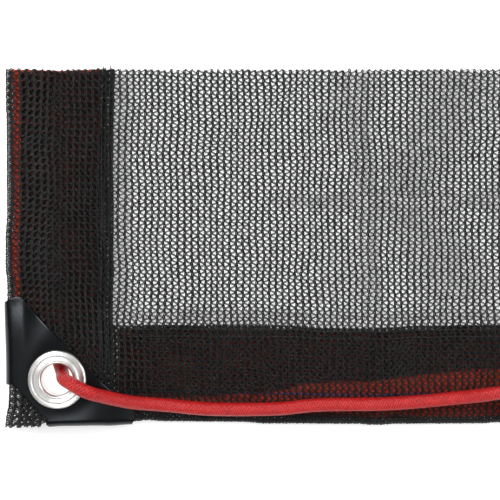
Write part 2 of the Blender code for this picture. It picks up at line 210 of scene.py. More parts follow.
def mix_colour(kit, share, first, second):
    return kit.get(
        "ShaderNodeMix",
        {"data_type": "RGBA"},
        {0: share, 6: first, 7: second},
        2,
    )


def bump(kit, shader, height, distance, strength=1.0):
    made = kit.get("ShaderNodeBump", None, {"Height": height, "Distance": distance, "Strength": strength})
    kit.feed(shader, "Normal", made)


def ramp(kit, share, *stops):
    return kit.get("ShaderNodeValToRGB", {"stops": stops}, {0: share})


# %% [markdown]
# The cord is elastic: a rubber core in a braided sleeve, 6 mm thick. It comes along the bottom hem,
# climbs over the eyelet's rim, dives through the hole and runs on beneath the left hem. The route
# is the one that the CAD file gives its solid, and a natural spline through it has no kinks.

# %% The cord's route
CORD_R = 3.0 * MM
CORD_ROUTE = (
    (99.4, -63.6, 14.1),
    (96.4, -63.7, 14.0),
    (91.0, -64.7, 12.7),
    (82.0, -66.1, 9.4),
    (73.0, -67.2, 8.0),
    (63.5, -68.1, 7.9),
    (50.2, -69.0, 8.5),
    (41.0, -69.3, 8.4),
    (32.4, -69.4, 7.9),
    (14.6, -69.9, 7.9),
    (3.5, -71.1, 7.9),
    (-12.0, -71.6, 7.9),
    (-23.1, -71.6, 7.9),
    (-34.2, -71.2, 7.9),
    (-47.5, -69.9, 8.0),
    (-57.2, -69.0, 9.2),
    (-64.0, -68.0, 12.2),
    (-70.0, -66.5, 15.4),
    (-75.7, -64.8, 18.7),
    (-80.5, -63.1, 22.2),
    (-85.2, -61.0, 23.7),
    (-89.7, -58.7, 22.2),
    (-93.4, -57.2, 17.0),
    (-95.3, -55.3, 8.0),
    (-97.7, -50.3, 3.6),
    (-99.5, -43.5, 3.1),
    (-98.9, -31.0, 3.1),
    (-98.9, -14.0, 3.1),
    (-98.6, 6.0, 3.1),
    (-99.2, 30.0, 3.1),
    (-98.8, 54.0, 3.1),
    (-98.9, 76.0, 3.1),
)


def smooth_curve(points, count):
    """Evenly spaced points of a natural cubic spline through a route, in metres."""
    p = np.array(points) * MM
    steps = np.sqrt(np.linalg.norm(np.diff(p, axis=0), axis=1))
    size = len(p)
    matrix = np.zeros((size, size))
    right = np.zeros((size, 3))
    matrix[0, 0] = matrix[-1, -1] = 1.0
    for i in range(1, size - 1):
        matrix[i, i - 1 : i + 2] = (steps[i - 1], 2 * (steps[i - 1] + steps[i]), steps[i])
        right[i] = 6 * ((p[i + 1] - p[i]) / steps[i] - (p[i] - p[i - 1]) / steps[i - 1])
    bends = np.linalg.solve(matrix, right)
    fine = []
    for k in range(size - 1):
        h = steps[k]
        for t in np.linspace(0, h, 60, endpoint=False):
            a = h - t
            curve = (bends[k] * a**3 + bends[k + 1] * t**3) / (6 * h)
            line = (p[k] / h - bends[k] * h / 6) * a + (p[k + 1] / h - bends[k + 1] * h / 6) * t
            fine.append(curve + line)
    return even_points(np.array(fine + [p[-1]]), count)


def even_points(line, count):
    """A line of points, spaced evenly along its length."""
    lengths = np.concatenate(([0.0], np.cumsum(np.linalg.norm(np.diff(line, axis=0), axis=1))))
    even = np.linspace(0, lengths[-1], count)
    return np.stack([np.interp(even, lengths, line[:, i]) for i in range(3)], axis=1)


def length_of(line):
    return float(np.linalg.norm(np.diff(line, axis=0), axis=1).sum())


cord_line = smooth_curve(CORD_ROUTE, 380)
print("cord length", round(length_of(cord_line), 4), "m")

# %% [markdown]
# A tube swept along a line needs a frame that doesn't twist, or the braid would wring itself. Each
# ring's frame is the last one, turned by just as much as the line turns. Two numbers go on every
# corner of the tube: how far round it is, and how far along in turns of the braid.

# %% Sweep a sleeve
BRAID_PITCH = 9.0 * MM


def mesh_piece(name, verts, faces, finish, smooth=True):
    mesh = bpy.data.meshes.new(name)
    mesh.from_pydata([tuple(v) for v in verts], [], faces)
    mesh.update()
    mesh.materials.append(finish)
    if smooth:
        mesh.shade_smooth()
    piece = bpy.data.objects.new(name, mesh)
    bpy.context.collection.objects.link(piece)
    return piece


def sweep_sleeve(name, line, radius, sides, finish, start=0.0):
    count = len(line)
    tangents = np.gradient(line, axis=0)
    tangents /= np.linalg.norm(tangents, axis=1)[:, None]
    side = np.cross(tangents[0], (0.0, 0.0, 1.0))
    side /= np.linalg.norm(side)
    verts = []
    for k in range(count):
        side = side - tangents[k] * np.dot(side, tangents[k])
        side /= np.linalg.norm(side)
        up = np.cross(side, tangents[k])
        for s in range(sides):
            angle = 2 * math.pi * s / sides
            verts.append(line[k] + radius * (math.cos(angle) * side + math.sin(angle) * up))
    faces = []
    for k in range(count - 1):
        for s in range(sides):
            t = (s + 1) % sides
            faces.append((k * sides + s, k * sides + t, (k + 1) * sides + t, (k + 1) * sides + s))
    along = np.concatenate(([0.0], np.cumsum(np.linalg.norm(np.diff(line, axis=0), axis=1)))) / BRAID_PITCH
    piece = mesh_piece(name, verts, faces, finish)
    layer = piece.data.uv_layers.new(name="sleeve")
    for face in range(len(faces)):
        k, s = divmod(face, sides)
        turns = (s / sides, (s + 1) / sides, (s + 1) / sides, s / sides)
        rings = (k, k, k + 1, k + 1)
        for j in range(4):
            layer.data[face * 4 + j].uv = (turns[j], start + along[rings[j]])
    for end, ring in ((-1, range(sides)), (1, range((count - 1) * sides, count * sides))):
        close_end(piece, list(ring), end)
    return piece


def close_end(piece, ring, end):
    """Closes one end of a tube with a fan of triangles."""
    bm = bmesh.new()
    bm.from_mesh(piece.data)
    bm.verts.ensure_lookup_table()
    verts = [bm.verts[i] for i in ring]
    centre = sum((v.co for v in verts), Vector()) / len(verts)
    tip = bm.verts.new(centre)
    for k, v in enumerate(verts):
        after = verts[(k + 1) % len(verts)]
        bm.faces.new((after, v, tip) if end < 0 else (v, after, tip))
    bmesh.ops.recalc_face_normals(bm, faces=bm.faces)
    bm.to_mesh(piece.data)
    bm.free()
    piece.data.shade_smooth()


# %% [markdown]
# The sleeve is braided from two sets of thread bundles, one winding each way. Where they cross, one
# lies on top in turn, like a basket weave on the slant. Two slanted waves give the bundles and a
# slow checkerboard picks which of the two is on top. The colour follows the same relief as painted
# shade and light: dark in the grooves and on the bundle beneath, light on the bundles' tops.

# %% Finish of the elastic cord
def make_sleeve_finish():
    material, kit, shader = new_finish("cord_sleeve", Specular_IOR_Level=0.38)
    around, along, _ = kit.parts(kit.get("ShaderNodeUVMap", {"uv_map": "sleeve"}))
    bundles = 8.0
    left = (around * bundles + along * bundles) * math.pi
    right = (around * bundles - along * bundles) * math.pi
    over_left = left.sin().size() ** 0.6
    over_right = right.sin().size() ** 0.6
    pick = ((left * 0.5).sin() * (right * 0.5).sin() > 0.0)
    height = over_left * pick + over_right * (1.0 - pick)
    threads = ((around * 150.0 + along * 60.0) * math.pi).sin() * 0.12
    place = kit.get("ShaderNodeTexCoord", None, None, "Object")
    uneven = noise(kit, place, 420.0, 3.0)
    worn = noise(kit, place, 60.0, 2.0)
    # Painted shade and light: the colour is darker in the braid's grooves and lighter on its tops, and the
    # noise is uneven tone
    share = height * 0.62 + uneven * 0.32 + threads
    colour = ramp(
        kit,
        share,
        (0.25, (0.05, 0.001, 0.002)),
        (0.50, (0.32, 0.003, 0.006)),
        (0.78, (0.58, 0.010, 0.012)),
        (1.00, (0.78, 0.060, 0.045)),
    )
    kit.feed(shader, "Base Color", colour)
    kit.feed(shader, "Roughness", 0.25 + worn * 0.2)
    bump(kit, shader, height + threads * 0.5 + uneven * 0.2, 0.00022, 0.8)
    return material


cord_sleeve = make_sleeve_finish()

# %% [markdown]
# The knot is a barrel stopper: the cord runs through the middle, turns back and winds round itself.
# It keeps the cord from slipping away, and it lies on the hem just outside the picture.

# %% Cord and knot
HEM_TOP = 4.5 * MM
GAP = 0.3 * MM
KNOT_CENTRE = (112.0 * MM, -63.6 * MM)
KNOT_TURNS = 2.5
KNOT_PITCH = 6.3 * MM
KNOT_COIL_R = 6.3 * MM


def soft_step(t):
    t = min(max(t, 0.0), 1.0)
    return t * t * (3 - 2 * t)


def knot_path():
    length = KNOT_TURNS * KNOT_PITCH
    x0 = KNOT_CENTRE[0] - length / 2
    x1 = KNOT_CENTRE[0] + length / 2
    axis_y = KNOT_CENTRE[1]
    axis_z = HEM_TOP + GAP + CORD_R + KNOT_COIL_R
    points = [(x, axis_y, axis_z) for x in np.linspace(x0 - 4.0 * MM, x1, 6)]
    out_steps = 18
    for k in range(1, out_steps + 1):
        t = k / out_steps
        angle = math.radians(-90 + 200 * t)
        radius = KNOT_COIL_R * soft_step(t * 1.05)
        x = x1 + 4.6 * MM * math.sin(math.pi * t) * (1 - 0.25 * t) + 1.2 * MM * (1 - t)
        points.append((x, axis_y + radius * math.cos(angle), axis_z + radius * math.sin(angle)))
    turn_steps = 80
    for k in range(1, turn_steps + 1):
        t = k / turn_steps
        angle = math.radians(110 + 360 * (KNOT_TURNS - 0.55) * t)
        x = x1 - (KNOT_TURNS - 0.55) * KNOT_PITCH * t
        points.append((x, axis_y + KNOT_COIL_R * math.cos(angle), axis_z + KNOT_COIL_R * math.sin(angle)))
    return np.array(points)


elastic = sweep_sleeve("elastic_sleeve", cord_line, CORD_R, 24, cord_sleeve)
knot_line = even_points(knot_path(), 150)
knot = sweep_sleeve("sleeve_knot", knot_line, CORD_R, 24, cord_sleeve)
for piece, node in ((elastic, "elastic_cord"), (knot, "cord_knot")):
    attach(piece, "root")
    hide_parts(node)
print("cord faces", len(elastic.data.polygons), "knot faces", len(knot.data.polygons))

# %% [markdown]
# Everything flat follows the same lie of the cloth. The cord lifts the corner and makes a low ridge
# under the left hem, the panel has two creases from its packing, and the edges stray from straight.
# These are the CAD file's own functions and tables, because the net has to lie in its solid. Only
# the creases are sharper here, and lifted cloth draws its edges in.

# %% How the cloth lies
LEFT_FOLD = -121.1 * MM
BOTTOM_FOLD = -78.65 * MM
RIGHT_CUT = 122.11 * MM
TOP_CUT = 80.7 * MM
LEFT_HEM = 48.2 * MM
BOTTOM_HEM = 44.3 * MM
CLOTH = 1.0 * MM
TAPE = 0.5 * MM
TAPE_WIDTH = 39.0 * MM
TAPE_INSET = 2.9 * MM
BACK_Z = 0.5 * MM
TAPE_Z = 1.65 * MM
TUCK_Z = 2.8 * MM
FRONT_Z = 4.0 * MM
FOLD_R = (FRONT_Z - BACK_Z) / 2
TUCK_R = (TUCK_Z - BACK_Z) / 2
FOLD_D = FOLD_R + CLOTH / 2
# The stitches on an outer fold stand a little proud of the cloth's own round
FOLD_BULGE = 1.2
LEFT_TUCK_EDGE = 5.6 * MM
HEM_SLOPE = 9.0 * MM
PATCH_NEAR = 20.2 * MM
PATCH_FAR = 63.8 * MM
PATCH_REACH_UP = 57.0 * MM
PATCH_REACH_RIGHT = 58.0 * MM
EYELET_X = -96.5 * MM
EYELET_Y = -57.6 * MM
EYELET_LIFT = 9.7 * MM
LIFT_FLAT_R = 14.5 * MM
LIFT_END_R = 42.0 * MM
PATCH_LIFT = 1.5 * MM
PATCH_LIFT_FADE = 14.0 * MM
CORD_RIDGE = 6.6 * MM
CORD_RIDGE_X = -98.9 * MM
CORD_RIDGE_HALF = 21.0 * MM
CREASE_HEIGHT = 1.9 * MM
CREASE_HALF = 4.5 * MM
CROSS_CREASE_HEIGHT = 1.4 * MM
CROSS_CREASE_Y = 21.5 * MM
CROSS_CREASE_HALF = 4.5 * MM
# Lifted cloth draws its edges in. A point moves by this share of its distance for each metre of lift.
DRAW_IN = 2.9
BOTTOM_EDGE_WAVE = (
    (-121, -1.3), (-108, -1.2), (-95, -0.5), (-76, 0.0), (-64, 0.9), (-58, 1.6), (-50, 1.2),
    (-14, 0.9), (-5, 0.2), (36, 0.1), (43, -0.4), (54, 0.1), (92, 0.3), (99, 0.8), (123, 0.4),
)
BOTTOM_LINE_WAVE = (
    (-75, 0.2), (-40, 0.4), (8, 0.2), (22, -0.8), (50, -0.9), (62, -0.1), (95, 0.4), (123, 0.0),
)
LEFT_EDGE_WAVE = (
    (-79, -1.0), (-68, 0.3), (-16, 0.3), (-8, -0.3), (6, -0.3), (14, 0.3), (56, 0.2), (66, -0.3), (82, -0.3),
)
LEFT_LINE_WAVE = ((-79, -0.4), (-20, -0.4), (-8, 0.0), (60, 0.0), (68, 0.4), (82, 0.8))
TUCK_EDGE = ((-75, 11.0), (-35, 11.0), (-12, 12.6), (24, 18.6), (100, 23.6), (123, 24.5))


def read_wave(table, place):
    """A smooth reading between the rows of a table in millimetres."""
    places = [row[0] * MM for row in table]
    shifts = [row[1] * MM for row in table]
    if place <= places[0]:
        return shifts[0]
    if place >= places[-1]:
        return shifts[-1]
    k = max(i for i, p in enumerate(places) if p <= place)
    k = min(k, len(places) - 2)
    t = soft_step((place - places[k]) / (places[k + 1] - places[k]))
    return shifts[k] + t * (shifts[k + 1] - shifts[k])


def patch_margin(x, y):
    """How deep a point lies inside the patch's outline, below 0 outside it."""
    across = (x - LEFT_FOLD) + (y - BOTTOM_FOLD)
    in_band = min(across - PATCH_NEAR, PATCH_FAR - across) / math.sqrt(2)
    return min(in_band, PATCH_REACH_RIGHT - (x - LEFT_FOLD), PATCH_REACH_UP - (y - BOTTOM_FOLD))


def lift(x, y):
    """Height of the stack's underside, where the cord holds it up."""
    from_eyelet = math.hypot(x - EYELET_X, y - EYELET_Y)
    near = soft_step((LIFT_END_R - from_eyelet) / (LIFT_END_R - LIFT_FLAT_R))
    outside = max(-patch_margin(x, y), 0.0)
    under_patch = PATCH_LIFT * soft_step(1 - outside / PATCH_LIFT_FADE)
    aside = min(abs(x - CORD_RIDGE_X) / CORD_RIDGE_HALF, 1.0)
    above_eyelet = soft_step((y - EYELET_Y + 5 * MM) / (15 * MM))
    ridge = CORD_RIDGE * math.cos(math.pi / 2 * aside) ** 2 * above_eyelet
    return EYELET_LIFT * near + (1 - near) * max(under_patch, ridge)


def low_ridge(distance, half, height):
    aside = min(abs(distance) / half, 1.0)
    return height * math.cos(math.pi / 2 * aside) ** 2


def relief(x, y):
    """Creases and waves of the panel."""
    crease_x = (41.5 - 0.077 * y / MM) * MM
    off_hem = soft_step((y - BOTTOM_FOLD - BOTTOM_HEM) / (12 * MM))
    crease = (0.4 + 0.6 * off_hem) * low_ridge(x - crease_x, CREASE_HALF, CREASE_HEIGHT)
    reach = soft_step((x + 12 * MM) / (50 * MM))
    cross = reach * low_ridge(y - CROSS_CREASE_Y, CROSS_CREASE_HALF, CROSS_CREASE_HEIGHT)
    rolling = soft_step((x - 8 * MM) / (40 * MM)) * soft_step((y - BOTTOM_FOLD - BOTTOM_HEM) / (20 * MM))
    wave = 0.3 * MM * rolling * (1 + math.sin(x / (9 * MM) + 1.3 * math.sin(y / (16 * MM))))
    return crease + cross + wave


def settle(x, y, z):
    """Moves a point of the flat stack to its place in the lying cloth."""
    across = min(max((y - BOTTOM_FOLD) / BOTTOM_HEM, 0.0), 1.0)
    fade = 1 - soft_step((y - BOTTOM_FOLD - BOTTOM_HEM) / (30 * MM))
    shift_y = read_wave(BOTTOM_EDGE_WAVE, x) * (1 - across) + read_wave(BOTTOM_LINE_WAVE, x) * across * fade
    along = min(max((x - LEFT_FOLD) / LEFT_HEM, 0.0), 1.0)
    fade = 1 - soft_step((x - LEFT_FOLD - LEFT_HEM) / (30 * MM))
    shift_x = read_wave(LEFT_EDGE_WAVE, y) * (1 - along) + read_wave(LEFT_LINE_WAVE, y) * along * fade
    raised = lift(x, y)
    drawn_in = raised * DRAW_IN
    shift_x += (CAMERA_FOOT[0] - x) * drawn_in
    shift_y += (CAMERA_FOOT[1] - y) * drawn_in
    return Vector((x + shift_x, y + shift_y, z + raised + relief(x, y)))


def front_height(x, y):
    """The front layer lies on the hems and comes down to the surface beyond them."""
    left = 1 - soft_step((x - LEFT_FOLD - LEFT_HEM + 1.3 * MM) / HEM_SLOPE)
    bottom = 1 - soft_step((y - BOTTOM_FOLD - BOTTOM_HEM + 1.3 * MM) / HEM_SLOPE)
    on_hem = 1 - (1 - left) * (1 - bottom)
    return BACK_Z + (FRONT_Z - BACK_Z) * on_hem


def raw_edge(x):
    """Where the bottom edge ends left of the bottom hem: longer in the open corner."""
    near_corner = 1 - soft_step((x - LEFT_FOLD - 16 * MM) / (3 * MM))
    return FOLD_D - near_corner * (FOLD_D + 1.2 * MM)


# %% [markdown]
# The net is knitted flat and folded afterwards, so it is made that way here too. A guide surface
# has the folded cloth's shape and remembers, at every point, where that point was on the flat
# cloth. A hem's section goes from its tucked edge round the tape and over the outer fold.

# %% Guide surface of the folded cloth
FLAT_SPAN = 0.4
FLAT_START = 0.12


def arc(centre, radius, start_deg, end_deg, steps):
    angles = np.radians(np.linspace(start_deg, end_deg, steps + 1))
    return [(centre[0] + radius * math.cos(a), centre[1] + radius * math.sin(a)) for a in angles]


def hem_section(width, free_end, spacing):
    """One hem's layers as (distance from the fold, height), from the tucked edge to the front."""
    inner = width - CLOTH / 2 - TUCK_R
    tuck_steps = max(2, round((inner - free_end) / spacing))
    section = [(d, TUCK_Z) for d in np.linspace(free_end, inner, tuck_steps)][:-1]
    section += arc((inner, BACK_Z + TUCK_R), TUCK_R, 90, -90, 6)
    section += [(d, BACK_Z) for d in np.linspace(inner, FOLD_D, round((inner - FOLD_D) / spacing))][1:-1]
    outer = arc((FOLD_D, BACK_Z + FOLD_R), FOLD_R, 270, 90, 9)
    section += [(FOLD_D - (FOLD_D - d) * FOLD_BULGE, z) for d, z in outer]
    return section


def run_back(section):
    """Flat distance of each point of a section before the front layer's start."""
    steps = [math.dist(a, b) for a, b in zip(section[:-1], section[1:])]
    total = sum(steps)
    places = [0.0]
    for step in steps:
        places.append(places[-1] + step)
    return [FOLD_D - (total - place) for place in places]


class GuideSheet:
    """Collects grids of points, each with its place on the flat cloth."""

    def __init__(self):
        self.verts, self.flat, self.faces = [], [], []

    def add_grid(self, grid):
        """grid[column][row] is (point, flat place)."""
        start, rows = len(self.verts), len(grid[0])
        for column in grid:
            for point, flat in column:
                self.verts.append(point)
                self.flat.append(flat)
        for c in range(len(grid) - 1):
            for r in range(rows - 1):
                a = start + c * rows + r
                self.faces.append((a, a + rows, a + rows + 1, a + 1))

    def make(self, name):
        mesh = bpy.data.meshes.new(name)
        mesh.from_pydata([tuple(v) for v in self.verts], [], self.faces)
        mesh.update()
        uv = mesh.uv_layers.new(name="flat")
        for loop in mesh.loops:
            u, v = self.flat[loop.vertex_index]
            uv.data[loop.index].uv = ((u + FLAT_START) / FLAT_SPAN, (v + FLAT_START) / FLAT_SPAN)
        facing = mesh.attributes.new("facing", "FLOAT_VECTOR", "POINT")
        facing.data.foreach_set("vector", [c for v in mesh.vertices for c in v.normal])
        hidden = mesh.attributes.new("hidden", "FLOAT", "POINT")
        hidden.data.foreach_set("value", [patch_margin(v[0], v[1]) for v in self.verts])
        sheet = bpy.data.objects.new(name, mesh)
        bpy.context.collection.objects.link(sheet)
        sheet.hide_render = True
        return sheet


def fine_steps(start, end, spacing):
    return list(np.linspace(start, end, max(2, round((end - start) / spacing) + 1)))


guide = GuideSheet()
left_section = hem_section(LEFT_HEM, LEFT_TUCK_EDGE, 2.2 * MM)
front_rows = fine_steps(FOLD_D, TOP_CUT - BOTTOM_FOLD, 1.8 * MM)
front_columns = fine_steps(FOLD_D, RIGHT_CUT - LEFT_FOLD, 1.8 * MM)


def cloth_column(distance, height, flat_x):
    column = []
    x = LEFT_FOLD + distance
    for row, along in enumerate(front_rows):
        if row == 0 and x < LEFT_FOLD + LEFT_HEM:
            along = raw_edge(x)
        y = BOTTOM_FOLD + along
        z = front_height(x, y) if height is None else height
        column.append((settle(x, y, z), (flat_x, along)))
    return column


columns = [cloth_column(d, z, u) for (d, z), u in zip(left_section, run_back(left_section))]
columns += [cloth_column(d, None, d) for d in front_columns[1:]]
guide.add_grid(columns)
flaps = []
HEM_OVERLAP = 3.0 * MM
for distance in fine_steps(LEFT_HEM - HEM_OVERLAP, RIGHT_CUT - LEFT_FOLD, 1.8 * MM):
    section = hem_section(BOTTOM_HEM, read_wave(TUCK_EDGE, LEFT_FOLD + distance), 2.2 * MM)
    count = 52
    even = np.linspace(0, len(section) - 1, count)
    places = run_back(section)
    column = []
    for e in even:
        k = min(int(e), len(section) - 2)
        t = e - k
        d = section[k][0] * (1 - t) + section[k + 1][0] * t
        z = section[k][1] * (1 - t) + section[k + 1][1] * t
        v = places[k] * (1 - t) + places[k + 1] * t
        x = LEFT_FOLD + distance
        column.append((settle(x, BOTTOM_FOLD + d, z), (distance, v)))
    flaps.append(column)
guide.add_grid(flaps)
cloth_guide = guide.make("cloth_guide")
left_hem_run = FOLD_D - run_back(left_section)[0]
print("guide points", len(guide.verts), "left hem wraps back", round(left_hem_run * 1000, 1), "mm")

# %% [markdown]
# Each wale of this net is a chain of loops, and a finer thread zigzags from chain to chain and
# pulls them a little left and right in turn. One stitch cell has two loops and the zigzag's three
# strands, drawn as open lines. A line's radius is its yarn's thickness.

# %% One stitch cell
WALE = 2.95 * MM
REPEAT = 3.06 * MM
COURSE = REPEAT / 2


def loop_line(base, lean):
    """One loop of the chain, from its base up, over its head and down, in millimetres."""
    sway = 0.20 * lean
    return [
        (-0.04, base - 0.10, -0.16),
        (-0.36 + sway * 0.4, base + 0.36, 0.04),
        (-0.46 + sway, base + 0.95, 0.18),
        (-0.20 + sway, base + 1.56, 0.26),
        (0.24 + sway, base + 1.54, 0.26),
        (0.46 + sway, base + 0.90, 0.18),
        (0.34 + sway * 0.4, base + 0.34, 0.04),
        (0.06, base - 0.10, -0.16),
    ]


def zigzag_line(shift):
    """A strand that goes to the next wale and back, at the back of the net."""
    near, far, course = 0.05, WALE / MM - 0.05, COURSE / MM
    level = 0.80 + shift
    return [
        (near, level + 0.12, -0.20),
        (far, level + course - 0.12, -0.10),
        (far, level + course + 0.12, -0.20),
        (near, level + 2 * course - 0.12, -0.14),
    ]


def thread_object(name, lines):
    """Open lines with a radius each, as one curve object."""
    curve = bpy.data.curves.new(name, "CURVE")
    curve.dimensions = "3D"
    for points, radius in lines:
        spline = curve.splines.new("POLY")
        spline.points.add(len(points) - 1)
        for target, (x, y, z) in zip(spline.points, points):
            target.co = (x * MM, y * MM, z * MM, 1.0)
            target.radius = radius
    made = bpy.data.objects.new(name, curve)
    bpy.context.collection.objects.link(made)
    made.hide_render = True
    return made


LOOP_YARN = 0.285
STRAND = 0.148
STRAND_GAP = 0.34
loops = [loop_line(0.0, 1), loop_line(COURSE / MM, -1)]
strands = [zigzag_line(shift * STRAND_GAP) for shift in (-1, 0, 1)]
stitch_lines = [(line, LOOP_YARN) for line in loops] + [(line, STRAND) for line in strands]
stitch_cell = thread_object("stitch_cell", stitch_lines)
plain_lines = [(line[::2] + [line[-1]], 1.6 * LOOP_YARN) for line in loops]
plain_lines += [(zigzag_line(shift * STRAND_GAP), 1.8 * STRAND) for shift in (-1.1, 1.1)]
plain_cell = thread_object("plain_cell", plain_lines)

# %% [markdown]
# One tree knits a rectangle of cells on the flat cloth, makes the yarn uneven, and then looks up
# where each point of it goes on the guide surface. Yarn that falls off the cloth's cut edges, into
# the eyelet or deep under the patch is taken away, which also leaves the short ends of a real cut.

# %% The tree that knits
YARN_SIDES = 3


def new_tree(name, *inputs):
    """A Geometry Nodes tree with a mesh in and out and named inputs (name, kind, default)."""
    tree = bpy.data.node_groups.new(name, "GeometryNodeTree")
    tree.interface.new_socket("Geometry", in_out="INPUT", socket_type="NodeSocketGeometry")
    tree.interface.new_socket("Geometry", in_out="OUTPUT", socket_type="NodeSocketGeometry")
    for label, kind, default in inputs:
        socket = tree.interface.new_socket(label, in_out="INPUT", socket_type=f"NodeSocket{kind}")
        if default is not None:
            socket.default_value = default
    kit = Kit(tree)
    source = kit.node("NodeGroupInput")
    goal = kit.node("NodeGroupOutput")
    return tree, kit, (lambda label: Value(kit, source.outputs[label])), goal


def knitting_tree():
    tree, kit, given, goal = new_tree(
        "knit a net",
        ("Cloth", "Object", None),
        ("Stitch", "Object", None),
        ("Wales", "Int", 10),
        ("Courses", "Int", 10),
        ("First wale", "Int", 0),
        ("First course", "Int", 0),
        ("Wale pitch", "Float", WALE),
        ("Course pitch", "Float", REPEAT),
        ("Shift", "Float", 0.0),
        ("Row slope", "Float", 0.055),
        ("Row slope fade", "Float", 0.09),
        ("Pull", "Float", 0.0012),
        ("Unevenness", "Float", 0.00022),
        ("Seed", "Float", 3.0),
        ("Hole radius", "Float", 0.008),
        ("Flatness", "Float", 1.0),
        ("Thickness", "Float", 1.0),
        ("Hidden depth", "Float", 0.005),
        ("Finish", "Material", None),
    )
    wales, courses = given("Wales"), given("Courses")
    width = (wales - 1.0) * given("Wale pitch")
    depth = (courses - 1.0) * given("Course pitch")
    grid = kit.get(
        "GeometryNodeMeshGrid",
        None,
        {"Size X": width, "Size Y": depth, "Vertices X": wales, "Vertices Y": courses},
    )
    corner = kit.join(
        width * 0.5 + given("First wale") * given("Wale pitch") + given("Shift"),
        depth * 0.5 + given("First course") * given("Course pitch"),
    )
    grid = kit.get("GeometryNodeSetPosition", None, {"Geometry": grid, "Offset": corner})
    thread = kit.get("GeometryNodeObjectInfo", None, {"Object": given("Stitch")}, "Geometry")
    round_yarn = kit.get("GeometryNodeCurvePrimitiveCircle", None, {"Resolution": YARN_SIDES, "Radius": MM})
    yarn_shape = kit.get(
        "GeometryNodeTransform",
        None,
        {
            "Geometry": round_yarn,
            "Scale": kit.join(given("Flatness"), 1.0, 1.0),
            "Rotation": (0.0, 0.0, math.pi / 2),
        },
    )
    yarn_size = kit.get("GeometryNodeInputRadius")
    thread = kit.get("GeometryNodeSetCurveNormal", {"mode": "Z_UP"}, {"Curve": thread})
    cell = kit.get(
        "GeometryNodeCurveToMesh",
        None,
        {
            "Curve": thread,
            "Profile Curve": yarn_shape,
            "Scale": yarn_size * given("Thickness"),
            "Fill Caps": True,
        },
    )
    cells = kit.get("GeometryNodeInstanceOnPoints", None, {"Points": grid, "Instance": cell})
    net = kit.get("GeometryNodeRealizeInstances", None, {"Geometry": cells})

    position = kit.get("GeometryNodeInputPosition")
    seed = given("Seed")
    slow = noise(kit, kit.vector("ADD", position, kit.join(seed, seed)), 38.0, 1.0, 0.5, "Color")
    fast = noise(kit, kit.vector("ADD", position, kit.join(seed, seed)), 520.0, 1.0, 0.5, "Color")
    half = (0.5, 0.5, 0.5)
    reach = given("Pull") * 3.0
    slow = kit.vector("MULTIPLY", kit.vector("SUBTRACT", slow, half), kit.join(reach, reach))
    spread = given("Unevenness") * 3.0
    fast = kit.vector("MULTIPLY", kit.vector("SUBTRACT", fast, half), kit.join(spread, spread, spread * 0.6))
    flat_x, flat_y, height = kit.parts(kit.vector("ADD", position, kit.vector("ADD", slow, fast)))
    drop = flat_x * given("Row slope") - flat_x * flat_x * given("Row slope fade")
    where = kit.join((flat_x + FLAT_START) / FLAT_SPAN, (flat_y - drop + FLAT_START) / FLAT_SPAN)

    sheet = kit.get("GeometryNodeObjectInfo", None, {"Object": given("Cloth")}, "Geometry")
    flat_map = kit.get("GeometryNodeInputNamedAttribute", {"data_type": "FLOAT_VECTOR"}, {"Name": "flat"})

    def look_up(data_type, value, output=0):
        return kit.get(
            "GeometryNodeSampleUVSurface",
            {"data_type": data_type},
            {"Mesh": sheet, "Value": value, "Source UV Map": flat_map, "Sample UV": where},
            output,
        )

    facing = kit.get("GeometryNodeInputNamedAttribute", {"data_type": "FLOAT_VECTOR"}, {"Name": "facing"})
    hidden = kit.get("GeometryNodeInputNamedAttribute", {"data_type": "FLOAT"}, {"Name": "hidden"})
    place = look_up("FLOAT_VECTOR", kit.get("GeometryNodeInputPosition"))
    on_cloth = look_up("FLOAT_VECTOR", kit.get("GeometryNodeInputPosition"), "Is Valid")
    outward = look_up("FLOAT_VECTOR", facing)
    depth_in = look_up("FLOAT", hidden)
    raised = kit.get("ShaderNodeVectorMath", {"operation": "SCALE"}, {0: outward, "Scale": height})
    goal_place = kit.vector("ADD", place, raised)
    x, y, _ = kit.parts(place)
    from_eyelet = ((x - EYELET_X) * (x - EYELET_X) + (y - EYELET_Y) * (y - EYELET_Y)) ** 0.5
    in_hole = from_eyelet < given("Hole radius")
    covered = depth_in > given("Hidden depth")
    gone = (1.0 - on_cloth) + in_hole + covered
    kept = kit.node("GeometryNodeCaptureAttribute")
    kept.capture_items.new("VECTOR", "Place")
    kept.capture_items.new("FLOAT", "Gone")
    kit.feed(kept, "Geometry", net)
    kit.feed(kept, "Place", goal_place)
    kit.feed(kept, "Gone", gone)
    net = Value(kit, kept.outputs["Geometry"])
    net = kit.get(
        "GeometryNodeSetPosition", None, {"Geometry": net, "Position": Value(kit, kept.outputs["Place"])}
    )
    index = kit.get("GeometryNodeInputIndex")
    ring = (index / YARN_SIDES).floor() * YARN_SIDES

    def gone_at(corner):
        return kit.get(
            "GeometryNodeFieldAtIndex",
            {"data_type": "FLOAT"},
            {"Index": ring + corner, "Value": Value(kit, kept.outputs["Gone"])},
        )

    whole_ring = gone_at(0.0) + gone_at(1.0) + gone_at(2.0)
    net = kit.get(
        "GeometryNodeDeleteGeometry", {"domain": "POINT"}, {"Geometry": net, "Selection": whole_ring > 0.5}
    )
    net = kit.get("GeometryNodeSetShadeSmooth", None, {"Geometry": net})
    net = kit.get("GeometryNodeSetMaterial", None, {"Geometry": net, "Material": given("Finish")})
    kit.feed(goal, "Geometry", net)
    return tree


